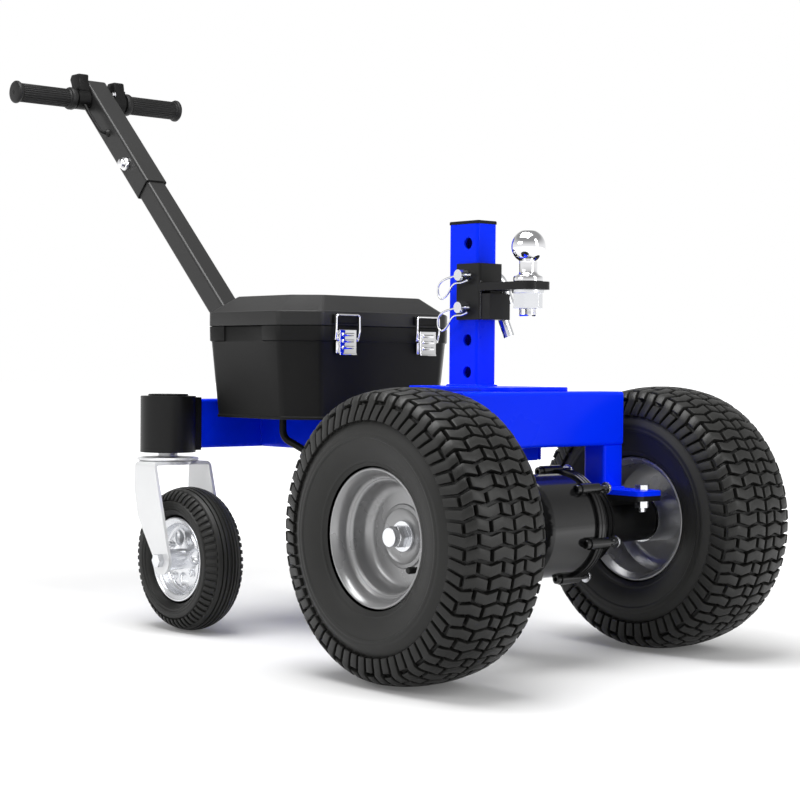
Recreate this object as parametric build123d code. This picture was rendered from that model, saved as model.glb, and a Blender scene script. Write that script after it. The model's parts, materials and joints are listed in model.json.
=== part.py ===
"""Electric trailer dolly in millimetres: +X ahead, +Y left, +Z up, floor at Z = 0.

An I-shaped tube frame carries a driven front axle, a ball post, a battery box and a telescopic
T-handle, and stands on two swivel casters at the ends of its rear beam.
"""
import math
import os

from build123d import *

# places along the machine, measured from the drive axle
axle_x = 500.2
beam_face_x = axle_x + 4.0
post_x = axle_x - 146.0
box_front_x = axle_x - 335.0
rear_beam_x = axle_x - 620.0
ball_x = axle_x - 35.0

# drive wheels
wheel_gap = 14.0
tyre_od = 381.0
tyre_w = 150.0
tread_w = 104.0
crown_drop = 4.0
rim_flange_d = 179.0
rim_w = 122.0
rim_wall = 4.0
rim_lip = 4.0
bead_in = 6.3
bead_drop = 6.0
rim_dish = 50.0
hub_r = 34.0
half_shaft_r = 12.5
half_shaft_in = 60.0
half_shaft_out = 26.0
hub_washer_r = 20.0
hub_nut_across = 30.0
bearing_gap = 0.5
lug_pitches = 33
lug_depth = 6.0
lug_gap = 5.0
lug_band = 16.0
axle_z = tyre_od / 2

# axle and drive
axle_tube_r = 32.0
tube_to_wheel = 48.0
drum_r = 71.5
drum_near = -58.0
drum_far = 30.0
seam_r = 75.0
seam_w = 12.0
neck_r = 56.0
neck_end = 84.0
gear_lugs = 6
gear_lug_turn = -16.0
gear_lug_r = 8.0
gear_lug_back = 18.0
gear_lug_front = 6.0
gear_rod_r = 4.0
gear_rod_len = 30.0
motor_r = 52.0
motor_y = -10.0
motor_start = 84.0
motor_len = 175.0
motor_lift = 6.0
motor_cap_len = 22.0
motor_step = 4.0

# frame tubes
beam_h = 76.5
beam_d = 51.0
beam_len = 314.0
beam_above_axle = 183.5
beam_top_z = axle_z + beam_above_axle
tube_r = 5.0
leg_x = 40.0
leg_y = 40.0
flange_len = 150.0
flange_w = 50.0
flange_t = 7.0
flange_corner = 10.0
pad_t = 7.0
saddle_w = 44.0
saddle_lap = 14.0
flange_bolt_dx = 57.0
bolt_r = 6.0
bolt_across = 21.0
bolt_head_h = 8.0
bolt_nut_h = 10.0
bolt_tail = 16.0
spine_w = 76.0
spine_h = 50.0
rear_beam_drop = 20.5
rear_beam_top_z = beam_top_z - rear_beam_drop
caster_y = 200.0
collar_r = 43.0
collar_h = 87.5
collar_over = 5.0
collar_z = rear_beam_top_z + collar_over - collar_h
collar_cap_r = 31.0
collar_cap_h = 3.0
collar_block_over = 3.0
post_plate_t = 6.0
post_plate_w = 150.0
post_plate_back = 215.0
post_plate_lap = 10.0
post_plate_corner = 30.0
stay_t = 6.0
stay_back = 12.0

# ball post
post_sx = 60.0
post_sy = 38.0
post_wall = 4.0
post_rise = 236.0
post_top_z = beam_top_z + post_rise
post_cap_t = 5.0
post_cap_in = 12.0
pin_hole_r = 8.25
pin_hole_back = 20.0
pin_hole_z0 = beam_top_z + 25.7
pin_pitch = 45.7
pin_rows = 5
bracket_rows = (pin_rows // 2, pin_rows // 2 + 1)
bracket_side = 4.0
bracket_front = 8.0
bracket_reach = 39.0
bracket_over = 17.0
ball_plate_z = pin_hole_z0 + 126.0
ball_plate_t = 11.0
ball_plate_len = 100.0
ball_plate_w = 46.0
ball_plate_corner = 14.0
root_len = 18.0
root_w = 40.0
root_gap = 4.0
ball_d = 47.6
ball_rise = 48.6
ball_z = ball_plate_z + ball_rise
ball_flat = 2.0
ball_neck_r = 13.0
ball_flange_r = 20.0
ball_flange_h = 8.0
shank_r = 12.7
shank_tail = 11.0
ball_nut_across = 42.0
ball_nut_h = 21.0
ball_washer_r = 22.0
ball_washer_t = 5.0
pin_r = 7.9
pin_tail = 16.0
pin_bend = 12.0
clip_wire_r = 1.5
clip_in = 9.0

# battery box
box_len_x = 265.0
box_len_y = 340.0
box_chamfer = 46.0
box_draft = 10.0
box_wall = 4.0
case_h = 139.0
lid_z = rear_beam_top_z - beam_h + spine_h + case_h
lid_gap = 0.6
skirt_h = 21.0
lid_h = 47.0
lid_top_z = lid_z + lid_h
lid_slope = 40.0
lid_step = 3.0
rim_band_h = 23.0
rim_band_t = 3.0
grip_notch = 95.0
latch_y = 80.0
latch_w = 48.0
latch_lever_h = 34.0
latch_lever_t = 7.0
latch_base_t = 3.0
latch_drop = 24.0
hook_t = 6.0
hook_z0 = 3.0
hook_z1 = 17.0
bail_r = 2.4
bail_out = 8.5
bail_top = 12.0
battery_x = 150.0
battery_y = 130.0
battery_h = 124.0
battery_gap = 3.0
cable_r = 5.5
cable_bend = 20.0
gland_y = -100.0

# handle
handle_tilt = 44.2
handle_z = rear_beam_top_z + 21.5
lower_tube = 38.0
lower_wall = 3.0
lower_len = 690.0
lower_start = 4.0
sleeve_tube = 44.0
slide_gap = 0.5
sleeve_lap = 200.0
sleeve_over = 85.0
sleeve_cap = 4.0
sleeve_start = lower_len - sleeve_lap
sleeve_end = lower_len + sleeve_over
clamp_up = 70.0
clamp_r = 5.0
clamp_washer_r = 11.0
clamp_across = 17.0
clamp_step = 8.0
cheek_t = 6.0
socket_bolt_at = (18.0, 52.0)
socket_bolt_r = 5.0
socket_bolt_across = 18.0
bar_s = sleeve_end - 33.0
bar_r = 12.5
pod_space = 53.0
pod_r = 18.0
pod_w = 24.0
grip_r = 17.5
grip_len = 122.0
grip_flange_r = 21.5
grip_flange_t = 5.0
grip_ribs = 9
grip_groove = 1.5
bar_len = 2 * (pod_space + grip_len)
lead_r = 3.0

# casters
caster_od = 220.0
caster_w = 64.0
caster_tread = 40.0
caster_trail = 60.0
caster_wall_h = 45.0
caster_rim_d = caster_od - 2 * caster_wall_h
caster_rim_w = 50.0
caster_rim_wall = 3.0
caster_bead_drop = 5.0
caster_disc_t = 4.0
caster_hub_r = 16.0
caster_hub_gap = 1.5
caster_plate_r = 48.0
caster_plate_drop = 7.5
caster_plate_z = collar_z - caster_plate_drop
caster_plate_t = 5.0
race_gap = 0.8
kingpin_r = 10.0
kingpin_up = 40.0
kingpin_clear = 2.0
spacer_r = 22.0
fork_t = 5.0
fork_gap = 16.0
fork_bend = 8.0
fork_crown_r = 44.0
fork_back = -12.0
fork_ahead = 40.0
fork_end_r = 22.0
caster_bolt_r = 6.0
caster_bolt_across = 22.0
caster_bolt_head = 9.0

# places that follow from the sizes above
front_beam_x = beam_face_x - beam_d / 2
front_beam_back = front_beam_x - beam_d / 2
beam_bottom_z = beam_top_z - beam_h
rear_beam_z0 = rear_beam_top_z - beam_h
spine_z0 = rear_beam_z0
spine_top_z = spine_z0 + spine_h
pad_z = axle_z + axle_tube_r
leg_bottom_z = pad_z + pad_t + flange_t
track = beam_len + tyre_w + 2 * wheel_gap
wheel_y = track / 2
axle_tube_end = wheel_y - tube_to_wheel
shaft_bore_r = half_shaft_r + bearing_gap
cut = 1.0
through = 60.0

os.makedirs("parts", exist_ok=True)


def save(name, shape):
    export_step(shape, f"parts/{name}.step")


def group(pieces):
    return Compound(children=list(pieces)) if len(pieces) > 1 else pieces[0]


def block(x0, x1, y0, y1, z0, z1):
    return Pos((x0 + x1) / 2, (y0 + y1) / 2, (z0 + z1) / 2) * Box(x1 - x0, y1 - y0, z1 - z0)


def rod_x(r, x0, x1, y, z):
    return Pos((x0 + x1) / 2, y, z) * Rot(0, 90, 0) * Cylinder(r, x1 - x0)


def rod_y(r, y0, y1, x, z):
    return Pos(x, (y0 + y1) / 2, z) * Rot(90, 0, 0) * Cylinder(r, y1 - y0)


def rod_z(r, z0, z1, x, y):
    return Pos(x, y, (z0 + z1) / 2) * Cylinder(r, z1 - z0)


def turned(points):
    """Solid of revolution about the Y axis from (radius, y) points."""
    return revolve(make_face(Polyline(*points, close=True)), Axis.Y, 360)


def bar(sx, sy, sz, axis):
    """Rectangular tube outline with rounded long edges."""
    body = Box(sx, sy, sz)
    return fillet(body.edges().filter_by(axis), tube_r)


def octagon(hx, hy, c, z):
    pts = [(hx, -hy + c), (hx, hy - c), (hx - c, hy), (-hx + c, hy)]
    pts += [(-hx, hy - c), (-hx, -hy + c), (-hx + c, -hy), (hx - c, -hy)]
    return Pos(0, 0, z) * make_face(Polyline(*pts, close=True))


def swept(path, r):
    """Round wire of radius r along a path."""
    start = Plane(origin=path @ 0, z_dir=path % 0)
    return sweep(start * Circle(r), path=path)


def wire_sweep(points, fillet_r, r):
    return swept(FilletPolyline(*points, radius=fillet_r), r)


def hexagon_y(across, y0, y1, x, z):
    prism = extrude(RegularPolygon(across / 2, 6), y1 - y0)
    return Pos(x, y1, z) * Rot(90, 0, 0) * prism


def hexagon_z(across, z0, z1, x, y):
    return Pos(x, y, z0) * extrude(RegularPolygon(across / 2, 6), z1 - z0)


# front beam, drop legs and axle clamps
front_beam = Pos(front_beam_x, 0, beam_top_z - beam_h / 2) * bar(beam_d, beam_len, beam_h, Axis.Y)
save("front_beam", front_beam)

leg_cx = beam_face_x - leg_x / 2
leg_cy = beam_len / 2 - leg_y / 2
legs = []
bolts = []
for side in (-1, 1):
    y = side * leg_cy
    leg = Pos(leg_cx, y, (leg_bottom_z + beam_bottom_z) / 2)
    leg = leg * bar(leg_x, leg_y, beam_bottom_z - leg_bottom_z, Axis.Z)
    plate = Pos(axle_x, y, leg_bottom_z - flange_t / 2) * Box(flange_len, flange_w, flange_t)
    plate = fillet(plate.edges().filter_by(Axis.Z), flange_corner)
    for dx in (-flange_bolt_dx, flange_bolt_dx):
        plate -= rod_z(bolt_r, leg_bottom_z - flange_t, leg_bottom_z, axle_x + dx, y)
        shank = rod_z(bolt_r, pad_z - bolt_tail, leg_bottom_z, axle_x + dx, y)
        head = hexagon_z(bolt_across, leg_bottom_z, leg_bottom_z + bolt_head_h, axle_x + dx, y)
        nut = hexagon_z(bolt_across, pad_z - bolt_nut_h, pad_z, axle_x + dx, y)
        bolts.append(shank + head + nut)
    legs.append(leg + plate)
save("drop_legs", group(legs))
save("axle_bolts", group(bolts))

# spine, rear beam and caster collars
spine_x0 = rear_beam_x + beam_d / 2
spine = Pos((spine_x0 + front_beam_back) / 2, 0, spine_z0 + spine_h / 2)
spine = spine * bar(front_beam_back - spine_x0, spine_w, spine_h, Axis.X)
save("spine", spine)

rear_beam_half = caster_y - collar_r
rear_beam = Pos(rear_beam_x, 0, rear_beam_top_z - beam_h / 2)
rear_beam = rear_beam * bar(beam_d, 2 * rear_beam_half, beam_h, Axis.Y)
save("rear_beam", rear_beam)
collars = []
plates = []
block_half = beam_d / 2 + collar_block_over
for side in (-1, 1):
    y = side * caster_y
    inner, outer = sorted((side * rear_beam_half, y))
    collar = rod_z(collar_r, collar_z, collar_z + collar_h, rear_beam_x, y)
    collar += rod_z(collar_cap_r, collar_z + collar_h, collar_z + collar_h + collar_cap_h, rear_beam_x, y)
    collar += block(rear_beam_x - block_half, rear_beam_x + block_half, inner, outer,
                    rear_beam_z0 - collar_block_over, rear_beam_top_z + collar_block_over)
    bore_top = collar_z + kingpin_up + kingpin_clear
    bore = rod_z(kingpin_r + bearing_gap, caster_plate_z - caster_plate_t, bore_top, rear_beam_x, y)
    collars.append(collar - bore)
    plate = rod_z(spacer_r, caster_plate_z, collar_z, rear_beam_x, y)
    plate += rod_z(caster_plate_r, caster_plate_z - caster_plate_t, caster_plate_z, rear_beam_x, y)
    plates.append(plate - bore)
save("caster_collars", group(collars))
save("caster_plates", group(plates))

# top plate that ties the post to the front beam, with two stays below it
plate_x1 = front_beam_x + post_plate_lap
plate_x0 = axle_x - post_plate_back
plate_y = post_plate_w / 2
post_plate = block(plate_x0, plate_x1, -plate_y, plate_y, beam_top_z, beam_top_z + post_plate_t)
post_plate = fillet(post_plate.edges().filter_by(Axis.Z), post_plate_corner)
for y0 in (-spine_w / 2, spine_w / 2 - stay_t):
    post_plate += block(plate_x0 + stay_back, front_beam_back, y0, y0 + stay_t, spine_top_z, beam_top_z)
post_plate -= block(post_x - post_sx / 2, post_x + post_sx / 2, -post_sy / 2, post_sy / 2,
                    beam_top_z, beam_top_z + post_plate_t)
save("post_plate", post_plate)

# ball post with pin holes
pin_x = post_x + post_sx / 2 - pin_hole_back
pin_zs = [pin_hole_z0 + pin_pitch * k for k in range(pin_rows)]
post_h = post_top_z - spine_top_z
post_in_x = post_sx / 2 - post_wall
post_in_y = post_sy / 2 - post_wall
post = Pos(post_x, 0, spine_top_z + post_h / 2) * bar(post_sx, post_sy, post_h, Axis.Z)
post -= block(post_x - post_in_x, post_x + post_in_x, -post_in_y, post_in_y, spine_top_z - cut, post_top_z + cut)
for z in pin_zs:
    post -= rod_y(pin_hole_r, -post_sy, post_sy, pin_x, z)
save("hitch_post", post)

cap = Pos(post_x, 0, post_top_z + post_cap_t / 2) * Box(post_sx, post_sy, post_cap_t)
cap = fillet(cap.edges().filter_by(Axis.Z) + cap.edges().group_by(Axis.Z)[-1], post_cap_t * 0.4)
cap += block(post_x - post_in_x, post_x + post_in_x, -post_in_y, post_in_y, post_top_z - post_cap_in, post_top_z)
save("post_cap", cap)

# ball bracket pinned to the post: a sleeve, a root block and the plate for the ball
br_x1 = post_x + post_sx / 2 + bracket_front
br_x0 = br_x1 - bracket_front - bracket_reach
br_y = post_sy / 2 + bracket_side
br_z0 = pin_zs[bracket_rows[0]] - bracket_over
br_z1 = pin_zs[bracket_rows[1]] + bracket_over
bracket = Pos((br_x0 + br_x1) / 2, 0, (br_z0 + br_z1) / 2) * Box(br_x1 - br_x0, 2 * br_y, br_z1 - br_z0)
bracket = fillet(bracket.edges().filter_by(Axis.Z).group_by(Axis.X)[-1], bracket_side)
bracket -= block(br_x0 - cut, post_x + post_sx / 2, -post_sy / 2, post_sy / 2, br_z0 - cut, br_z1 + cut)
ball_plate_z0 = ball_plate_z - ball_plate_t
tongue = block(br_x1 - 2 * cut, br_x1 + ball_plate_len, -ball_plate_w / 2, ball_plate_w / 2,
               ball_plate_z0, ball_plate_z)
tongue = fillet(tongue.edges().filter_by(Axis.Z).group_by(Axis.X)[-1], ball_plate_corner)
bracket += tongue
bracket += block(br_x1 - 2 * cut, br_x1 + root_len, -root_w / 2, root_w / 2, br_z0, ball_plate_z0 - root_gap)
bracket += block(br_x1 - 2 * cut, br_x1 + root_len / 2, -root_w / 4, root_w / 4, br_z0, ball_plate_z0)
bracket -= rod_z(shank_r + bearing_gap / 2, ball_plate_z0 - cut, ball_plate_z + cut, ball_x, 0)
for row in bracket_rows:
    bracket -= rod_y(pin_hole_r, -br_y - cut, br_y + cut, pin_x, pin_zs[row])
save("ball_bracket", bracket)

# hitch pins with bent ends and spring clips with a hanging loop
clip_loop = [(-14, -1.0), (-34, -5), (-48, -17), (-42, -32), (-29, -27), (-14, -12)]
clip_tail = [(0, -10.6), (14, -7)]
pins = []
clips = []
for row in bracket_rows:
    z = pin_zs[row]
    pin_path = FilletPolyline((pin_x, -br_y - pin_tail, z), (pin_x, br_y + pin_tail + 6, z),
                              (pin_x + 12, br_y + 30, z - 40), radius=pin_bend)
    clip_y = -br_y - clip_in
    pins.append(swept(pin_path, pin_r) - rod_x(clip_wire_r, pin_x - 20, pin_x + 20, clip_y, z))
    straight = Line((pin_x + 18, clip_y, z), (pin_x - 8, clip_y, z))
    spots = [(pin_x - 8, clip_y, z)] + [(pin_x + dx, clip_y, z + dz) for dx, dz in clip_loop + clip_tail]
    loop = Spline(*spots, tangents=[(-1, 0, 0), (1, 0, 0.3)])
    clips.append(swept(Wire([straight, loop]), clip_wire_r))
save("hitch_pins", group(pins))
save("pin_clips", group(clips))

# tow ball and nut
ball_r = ball_d / 2
ball_flange_z = ball_plate_z + ball_flange_h
nut_z1 = ball_plate_z0 - ball_washer_t
nut_z0 = nut_z1 - ball_nut_h
ball = Pos(ball_x, 0, ball_z) * Sphere(ball_r)
ball -= block(ball_x - ball_d, ball_x + ball_d, -ball_d, ball_d, ball_z + ball_r - ball_flat, ball_z + ball_d)
ball += rod_z(ball_neck_r, ball_flange_z - cut, ball_z, ball_x, 0)
ball += rod_z(ball_flange_r, ball_plate_z, ball_flange_z, ball_x, 0)
ball += rod_z(shank_r, nut_z0 - shank_tail, ball_plate_z, ball_x, 0)
save("tow_ball", ball)
nut = hexagon_z(ball_nut_across, nut_z0, nut_z1, ball_x, 0)
nut += rod_z(ball_washer_r, nut_z1, ball_plate_z0, ball_x, 0)
nut -= rod_z(shank_r + bearing_gap / 2, nut_z0 - cut, ball_plate_z, ball_x, 0)
save("ball_nut", nut)

# drive axle
tubes = []
for side in (-1, 1):
    y0, y1 = sorted((side * neck_end, side * axle_tube_end))
    tube = rod_y(axle_tube_r, y0, y1, axle_x, axle_z)
    tube -= rod_y(shaft_bore_r, y0 - cut, y1 + cut, axle_x, axle_z)
    y = side * leg_cy
    y0, y1 = y - flange_w / 2, y + flange_w / 2
    pad = block(axle_x - flange_len / 2, axle_x + flange_len / 2, y0, y1, pad_z, pad_z + pad_t)
    pad = fillet(pad.edges().filter_by(Axis.Z), flange_corner)
    pad += block(axle_x - saddle_w / 2, axle_x + saddle_w / 2, y0, y1, pad_z - saddle_lap, pad_z)
    pad -= rod_y(axle_tube_r - 2 * cut, y0 - cut, y1 + cut, axle_x, axle_z)
    for dx in (-flange_bolt_dx, flange_bolt_dx):
        pad -= rod_z(bolt_r, pad_z - cut, pad_z + pad_t + cut, axle_x + dx, y)
    tubes.append(tube + pad)
save("axle_tubes", group(tubes))

seam_end = drum_far + seam_w
gear_points = [(0, -neck_end), (neck_r - 16, -neck_end), (neck_r - 12, -neck_end + 4), (neck_r, drum_near - 6)]
gear_points += [(drum_r - 6, drum_near), (drum_r, drum_near + 6), (drum_r, drum_far), (seam_r, drum_far)]
gear_points += [(seam_r, seam_end), (drum_r - 2, seam_end), (neck_r, seam_end + 12)]
gear_points += [(neck_r, neck_end - 4), (neck_r - 4, neck_end), (0, neck_end)]
gear = Pos(axle_x, 0, axle_z) * turned(gear_points)
motor_z = axle_z + motor_lift
gear += rod_x(motor_r + motor_step, axle_x - motor_start, axle_x, motor_y, motor_z)
for k in range(gear_lugs):
    t = math.radians(360 / gear_lugs * k + gear_lug_turn)
    lug_x = axle_x + seam_r * math.cos(t)
    lug_z = axle_z + seam_r * math.sin(t)
    gear += rod_y(gear_lug_r, drum_far - gear_lug_back, seam_end + gear_lug_front, lug_x, lug_z)
    gear += rod_y(gear_rod_r, drum_far, seam_end + gear_rod_len, lug_x, lug_z)
gear -= rod_y(shaft_bore_r, -neck_end - cut, neck_end + cut, axle_x, axle_z)
save("gear_housing", gear)

motor_x0 = axle_x - motor_start - motor_len
motor = rod_x(motor_r, motor_x0 + motor_cap_len, axle_x - motor_start, motor_y, motor_z)
motor += rod_x(motor_r - motor_step, motor_x0, motor_x0 + motor_cap_len, motor_y, motor_z)
save("drive_motor", motor)

# battery box
hx = box_len_x / 2
hy = box_len_y / 2
box_cx = box_front_x - hx
box_z0 = spine_top_z


def box_loft(inset, z0, z1, inset_low):
    low = octagon(hx - inset_low, hy - inset_low, box_chamfer - 0.6 * inset_low, z0)
    high = octagon(hx - inset, hy - inset, box_chamfer - 0.6 * inset, z1)
    return Pos(box_cx, 0, 0) * loft([low, high], ruled=True)


case_in = rim_band_t + box_wall
case = box_loft(rim_band_t, box_z0, lid_z, rim_band_t + box_draft)
case += box_loft(0, lid_z - rim_band_h, lid_z, 1)
case -= box_loft(case_in, box_z0 + box_wall, lid_z, case_in + box_draft)
for side in (-1, 1):
    notch = Box(grip_notch, 2 * rim_band_t, rim_band_h + 2 * cut)
    case -= Pos(box_cx, side * hy, lid_z - rim_band_h / 2) * notch
save("battery_case", case)

batteries = []
for side in (-1, 1):
    by = side * (battery_y / 2 + battery_gap)
    batteries.append(block(box_cx - battery_x / 2, box_cx + battery_x / 2, by - battery_y / 2, by + battery_y / 2,
                           box_z0 + box_wall, box_z0 + box_wall + battery_h))
save("batteries", group(batteries))

skirt_z0 = lid_z + lid_gap
skirt_z1 = skirt_z0 + skirt_h


def lid_shell(t):
    """Outer form of the lid, shrunk by t for its hollow."""
    skirt = box_loft(t, skirt_z0 - (cut if t else 0), skirt_z1 - t, t)
    crown = box_loft(lid_slope + t / 2, skirt_z1 - t, lid_top_z - t, lid_step + t)
    return skirt + crown


save("box_lid", lid_shell(0) - lid_shell(box_wall))

# draw latches: levers on the case, hooks and bails on the lid
levers = []
hooks = []
bails = []
face = box_front_x
bail_x = face + bail_out
for side in (-1, 1):
    y = side * latch_y
    half_w = latch_w / 2
    base = block(face, face + latch_base_t, y - half_w + 4, y + half_w - 4, lid_z - latch_drop - 18, lid_z - 6)
    lever = Pos(face + latch_base_t + latch_lever_t / 2, y, lid_z - latch_drop)
    lever = lever * Box(latch_lever_t, latch_w - 12, latch_lever_h)
    levers.append(base + fillet(lever.edges().filter_by(Axis.Y), latch_base_t))
    hook = block(face, face + hook_t, y - half_w, y + half_w, skirt_z0 + hook_z0, skirt_z0 + hook_z1)
    hooks.append(fillet(hook.edges().filter_by(Axis.Y).group_by(Axis.X)[-1], hook_t / 3))
    bail_y = half_w - 3
    low, high = lid_z + cut, skirt_z0 + bail_top
    bail = [(bail_x, y - bail_y, low), (bail_x, y - bail_y, high)]
    bail += [(bail_x, y + bail_y, high), (bail_x, y + bail_y, low)]
    bails.append(wire_sweep(bail, 4, bail_r))
save("latch_levers", group(levers))
save("latch_hooks", group(hooks))
save("latch_bails", group(bails))

# motor lead in conduit from the box to the motor
gland_x = box_cx + 10
motor_top = motor_z + 24
motor_side = motor_y - 24
lead = [(gland_x, gland_y, box_z0), (gland_x, gland_y, box_z0 - 30), (gland_x + 110, gland_y + 36, box_z0 - 82)]
lead += [(motor_x0 - 45, motor_side, motor_top), (motor_x0, motor_side, motor_top)]
save("motor_cable", wire_sweep(lead, cable_bend, cable_r))

# handle: socket on the rear beam, fixed lower tube, sliding upper tube with the bar
up = math.radians(handle_tilt)
handle_at = Pos(rear_beam_x, 0, handle_z) * Rot(0, -(90 - handle_tilt), 0)


def along(s):
    return (rear_beam_x - s * math.cos(up), handle_z + s * math.sin(up))


cheek_y = lower_tube / 2
cheek_out = cheek_y + cheek_t
socket_top = rear_beam_top_z + cheek_t
socket = block(rear_beam_x - 42, rear_beam_x + beam_d / 2 - 4, -cheek_out, cheek_out, rear_beam_top_z, socket_top)
cheek_pts = [(rear_beam_x + 20, socket_top), (rear_beam_x + 14, handle_z + 26), (rear_beam_x - 16, handle_z + 56)]
cheek_pts += [(rear_beam_x - 66, handle_z + 40), (rear_beam_x - 42, socket_top)]
cheek = extrude(Plane.XZ * make_face(Polyline(*cheek_pts, close=True)), cheek_t)
socket += Pos(0, -cheek_y, 0) * cheek
socket += Pos(0, cheek_out, 0) * cheek
lower = bar(lower_tube, lower_tube, lower_len - lower_start, Axis.Z)
lower -= Box(lower_tube - 2 * lower_wall, lower_tube - 2 * lower_wall, lower_len)
lower = handle_at * Pos(0, 0, (lower_len + lower_start) / 2) * lower
socket_bolts = []
for s in socket_bolt_at:
    bx, bz = along(s)
    socket -= rod_y(socket_bolt_r, -through, through, bx, bz)
    lower -= rod_y(socket_bolt_r, -through, through, bx, bz)
    bolt = rod_y(socket_bolt_r, -cheek_out, cheek_out, bx, bz)
    bolt += hexagon_y(socket_bolt_across, -cheek_out - 7, -cheek_out, bx, bz)
    bolt += hexagon_y(socket_bolt_across, cheek_out, cheek_out + 8, bx, bz)
    socket_bolts.append(bolt)
save("handle_socket", socket)
save("handle_lower", lower)
save("socket_bolts", group(socket_bolts))

sleeve_len = sleeve_end - sleeve_start
sleeve_half = sleeve_tube / 2
bore = lower_tube + 2 * slide_gap
upper = bar(sleeve_tube, sleeve_tube, sleeve_len, Axis.Z)
upper -= Pos(0, 0, -sleeve_cap) * Box(bore, bore, sleeve_len)
upper = handle_at * Pos(0, 0, sleeve_start + sleeve_len / 2) * upper
bar_x, bar_z = along(bar_s)
upper -= rod_y(bar_r, -through, through, bar_x, bar_z)
clamp_x, clamp_z = along(sleeve_start + clamp_up)
upper -= rod_y(clamp_r, -through, 0, clamp_x, clamp_z)
save("handle_upper", upper)

handle_bar = rod_y(bar_r, -bar_len / 2 + 4, bar_len / 2 - 4, bar_x, bar_z)
save("handle_bar", handle_bar)

clamp = rod_y(clamp_r, -sleeve_half, -bore / 2, clamp_x, clamp_z)
clamp += rod_y(clamp_washer_r, -sleeve_half - clamp_step, -sleeve_half, clamp_x, clamp_z)
clamp += hexagon_y(clamp_across, -sleeve_half - 2 * clamp_step, -sleeve_half - clamp_step, clamp_x, clamp_z)
save("clamp_bolt", clamp)

grips = []
half_grip = grip_len / 2
rib_step = (grip_len - 14) / grip_ribs
groove_r = grip_r - grip_groove
for side in (-1, 1):
    rib_y0 = -half_grip + grip_flange_t
    pts = [(bar_r, -half_grip), (grip_flange_r, -half_grip), (grip_flange_r, rib_y0)]
    for k in range(grip_ribs):
        y0 = rib_y0 + k * rib_step
        y1 = y0 + 2 * grip_groove
        pts += [(groove_r, y0), (groove_r, y1), (grip_r, y1), (grip_r, y0 + rib_step)]
    pts += [(groove_r, half_grip - 4), (grip_r - 4, half_grip), (0, half_grip)]
    pts += [(0, half_grip - 4), (bar_r, half_grip - 4)]
    turn = Rot(0, 0, 0) if side > 0 else Rot(180, 0, 0)
    grips.append(Pos(bar_x, side * (bar_len / 2 - half_grip), bar_z) * turn * turned(pts))
save("grips", group(grips))

pod_gap = sleeve_half + 4
throttle = rod_y(pod_r, -pod_gap - pod_w, -pod_gap, bar_x, bar_z)
throttle += block(bar_x - 12, bar_x + 14, -pod_gap - pod_w + 2, -pod_gap - 2, bar_z, bar_z + 28)
throttle -= rod_y(bar_r, -through, 0, bar_x, bar_z)
throttle += Pos(bar_x - 24, -pod_gap - pod_w / 2, bar_z + 14) * Rot(0, 25, 0) * Box(26, 16, 7)
save("throttle_pod", throttle)
switch = rod_y(pod_r, pod_gap, pod_gap + pod_w, bar_x, bar_z)
switch += block(bar_x - 14, bar_x + 16, pod_gap + 2, pod_gap + pod_w - 2, bar_z, bar_z + 22)
switch -= rod_y(bar_r, 0, through, bar_x, bar_z)
switch += rod_z(6, bar_z + 22, bar_z + 27, bar_x, pod_gap + pod_w / 2)
save("switch_pod", switch)

lead_x, lead_z = along(bar_s - 95)
lead_y = -pod_gap - pod_w / 2
lead_pts = [(bar_x + 16, lead_y, bar_z - 12), (bar_x + 34, lead_y, bar_z - 32)]
lead_pts += [(lead_x, -sleeve_half - 14, lead_z), (lead_x, -sleeve_half, lead_z)]
save("control_lead", wire_sweep(lead_pts, 8, lead_r))


def tyre_profile(r_out, w_half, crown_half, r_bead, bead_half, r_flange):
    """Section of a tyre with a crown arc, round shoulders and bulging walls."""
    r_shoulder = r_out - crown_drop
    middle = (r_out + r_bead) / 2 + 2
    low = (r_flange + 1, bead_half + 1.4)
    wall = (r_shoulder - 14, w_half - 7)
    edge = (r_shoulder - 4, (w_half + crown_half) / 2 - 1)

    def far(p):
        return (p[0], -p[1])

    e = [Line((r_bead, -bead_half), (r_bead, bead_half)), Line((r_bead, bead_half), low)]
    e += [ThreePointArc(low, (middle, w_half), wall), ThreePointArc(wall, edge, (r_shoulder, crown_half))]
    e += [ThreePointArc((r_shoulder, crown_half), (r_out, 0), (r_shoulder, -crown_half))]
    e += [ThreePointArc((r_shoulder, -crown_half), far(edge), far(wall))]
    e += [ThreePointArc(far(wall), (middle, -w_half), far(low)), Line(far(low), (r_bead, -bead_half))]
    return make_face(e)


# drive wheels with rows of lugs that fit into each other like bricks
flange_r = rim_flange_d / 2
bead_r = flange_r - bead_drop
rim_half = rim_w / 2
tyre_half = tyre_w / 2
tyre_section = tyre_profile(tyre_od / 2, tyre_half, tread_w / 2, bead_r, rim_half - bead_in, flange_r)


def lug_ring(y0, y1, phase, r_floor):
    """Toothed disc between two planes: its teeth leave the lugs, its gaps the grooves."""
    r_tip = tyre_od / 2 + 5
    land = math.pi / lug_pitches - lug_gap / tyre_od
    pts = []
    for k in range(lug_pitches):
        mid = 2 * math.pi * (k + phase) / lug_pitches
        for t, r in ((mid - land, r_floor), (mid - land, r_tip), (mid + land, r_tip), (mid + land, r_floor)):
            pts.append((r * math.cos(t), r * math.sin(t)))
    disc = extrude(make_face(Polyline(*pts, close=True)), y1 - y0)
    return Pos(0, y1, 0) * Rot(90, 0, 0) * disc


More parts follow.
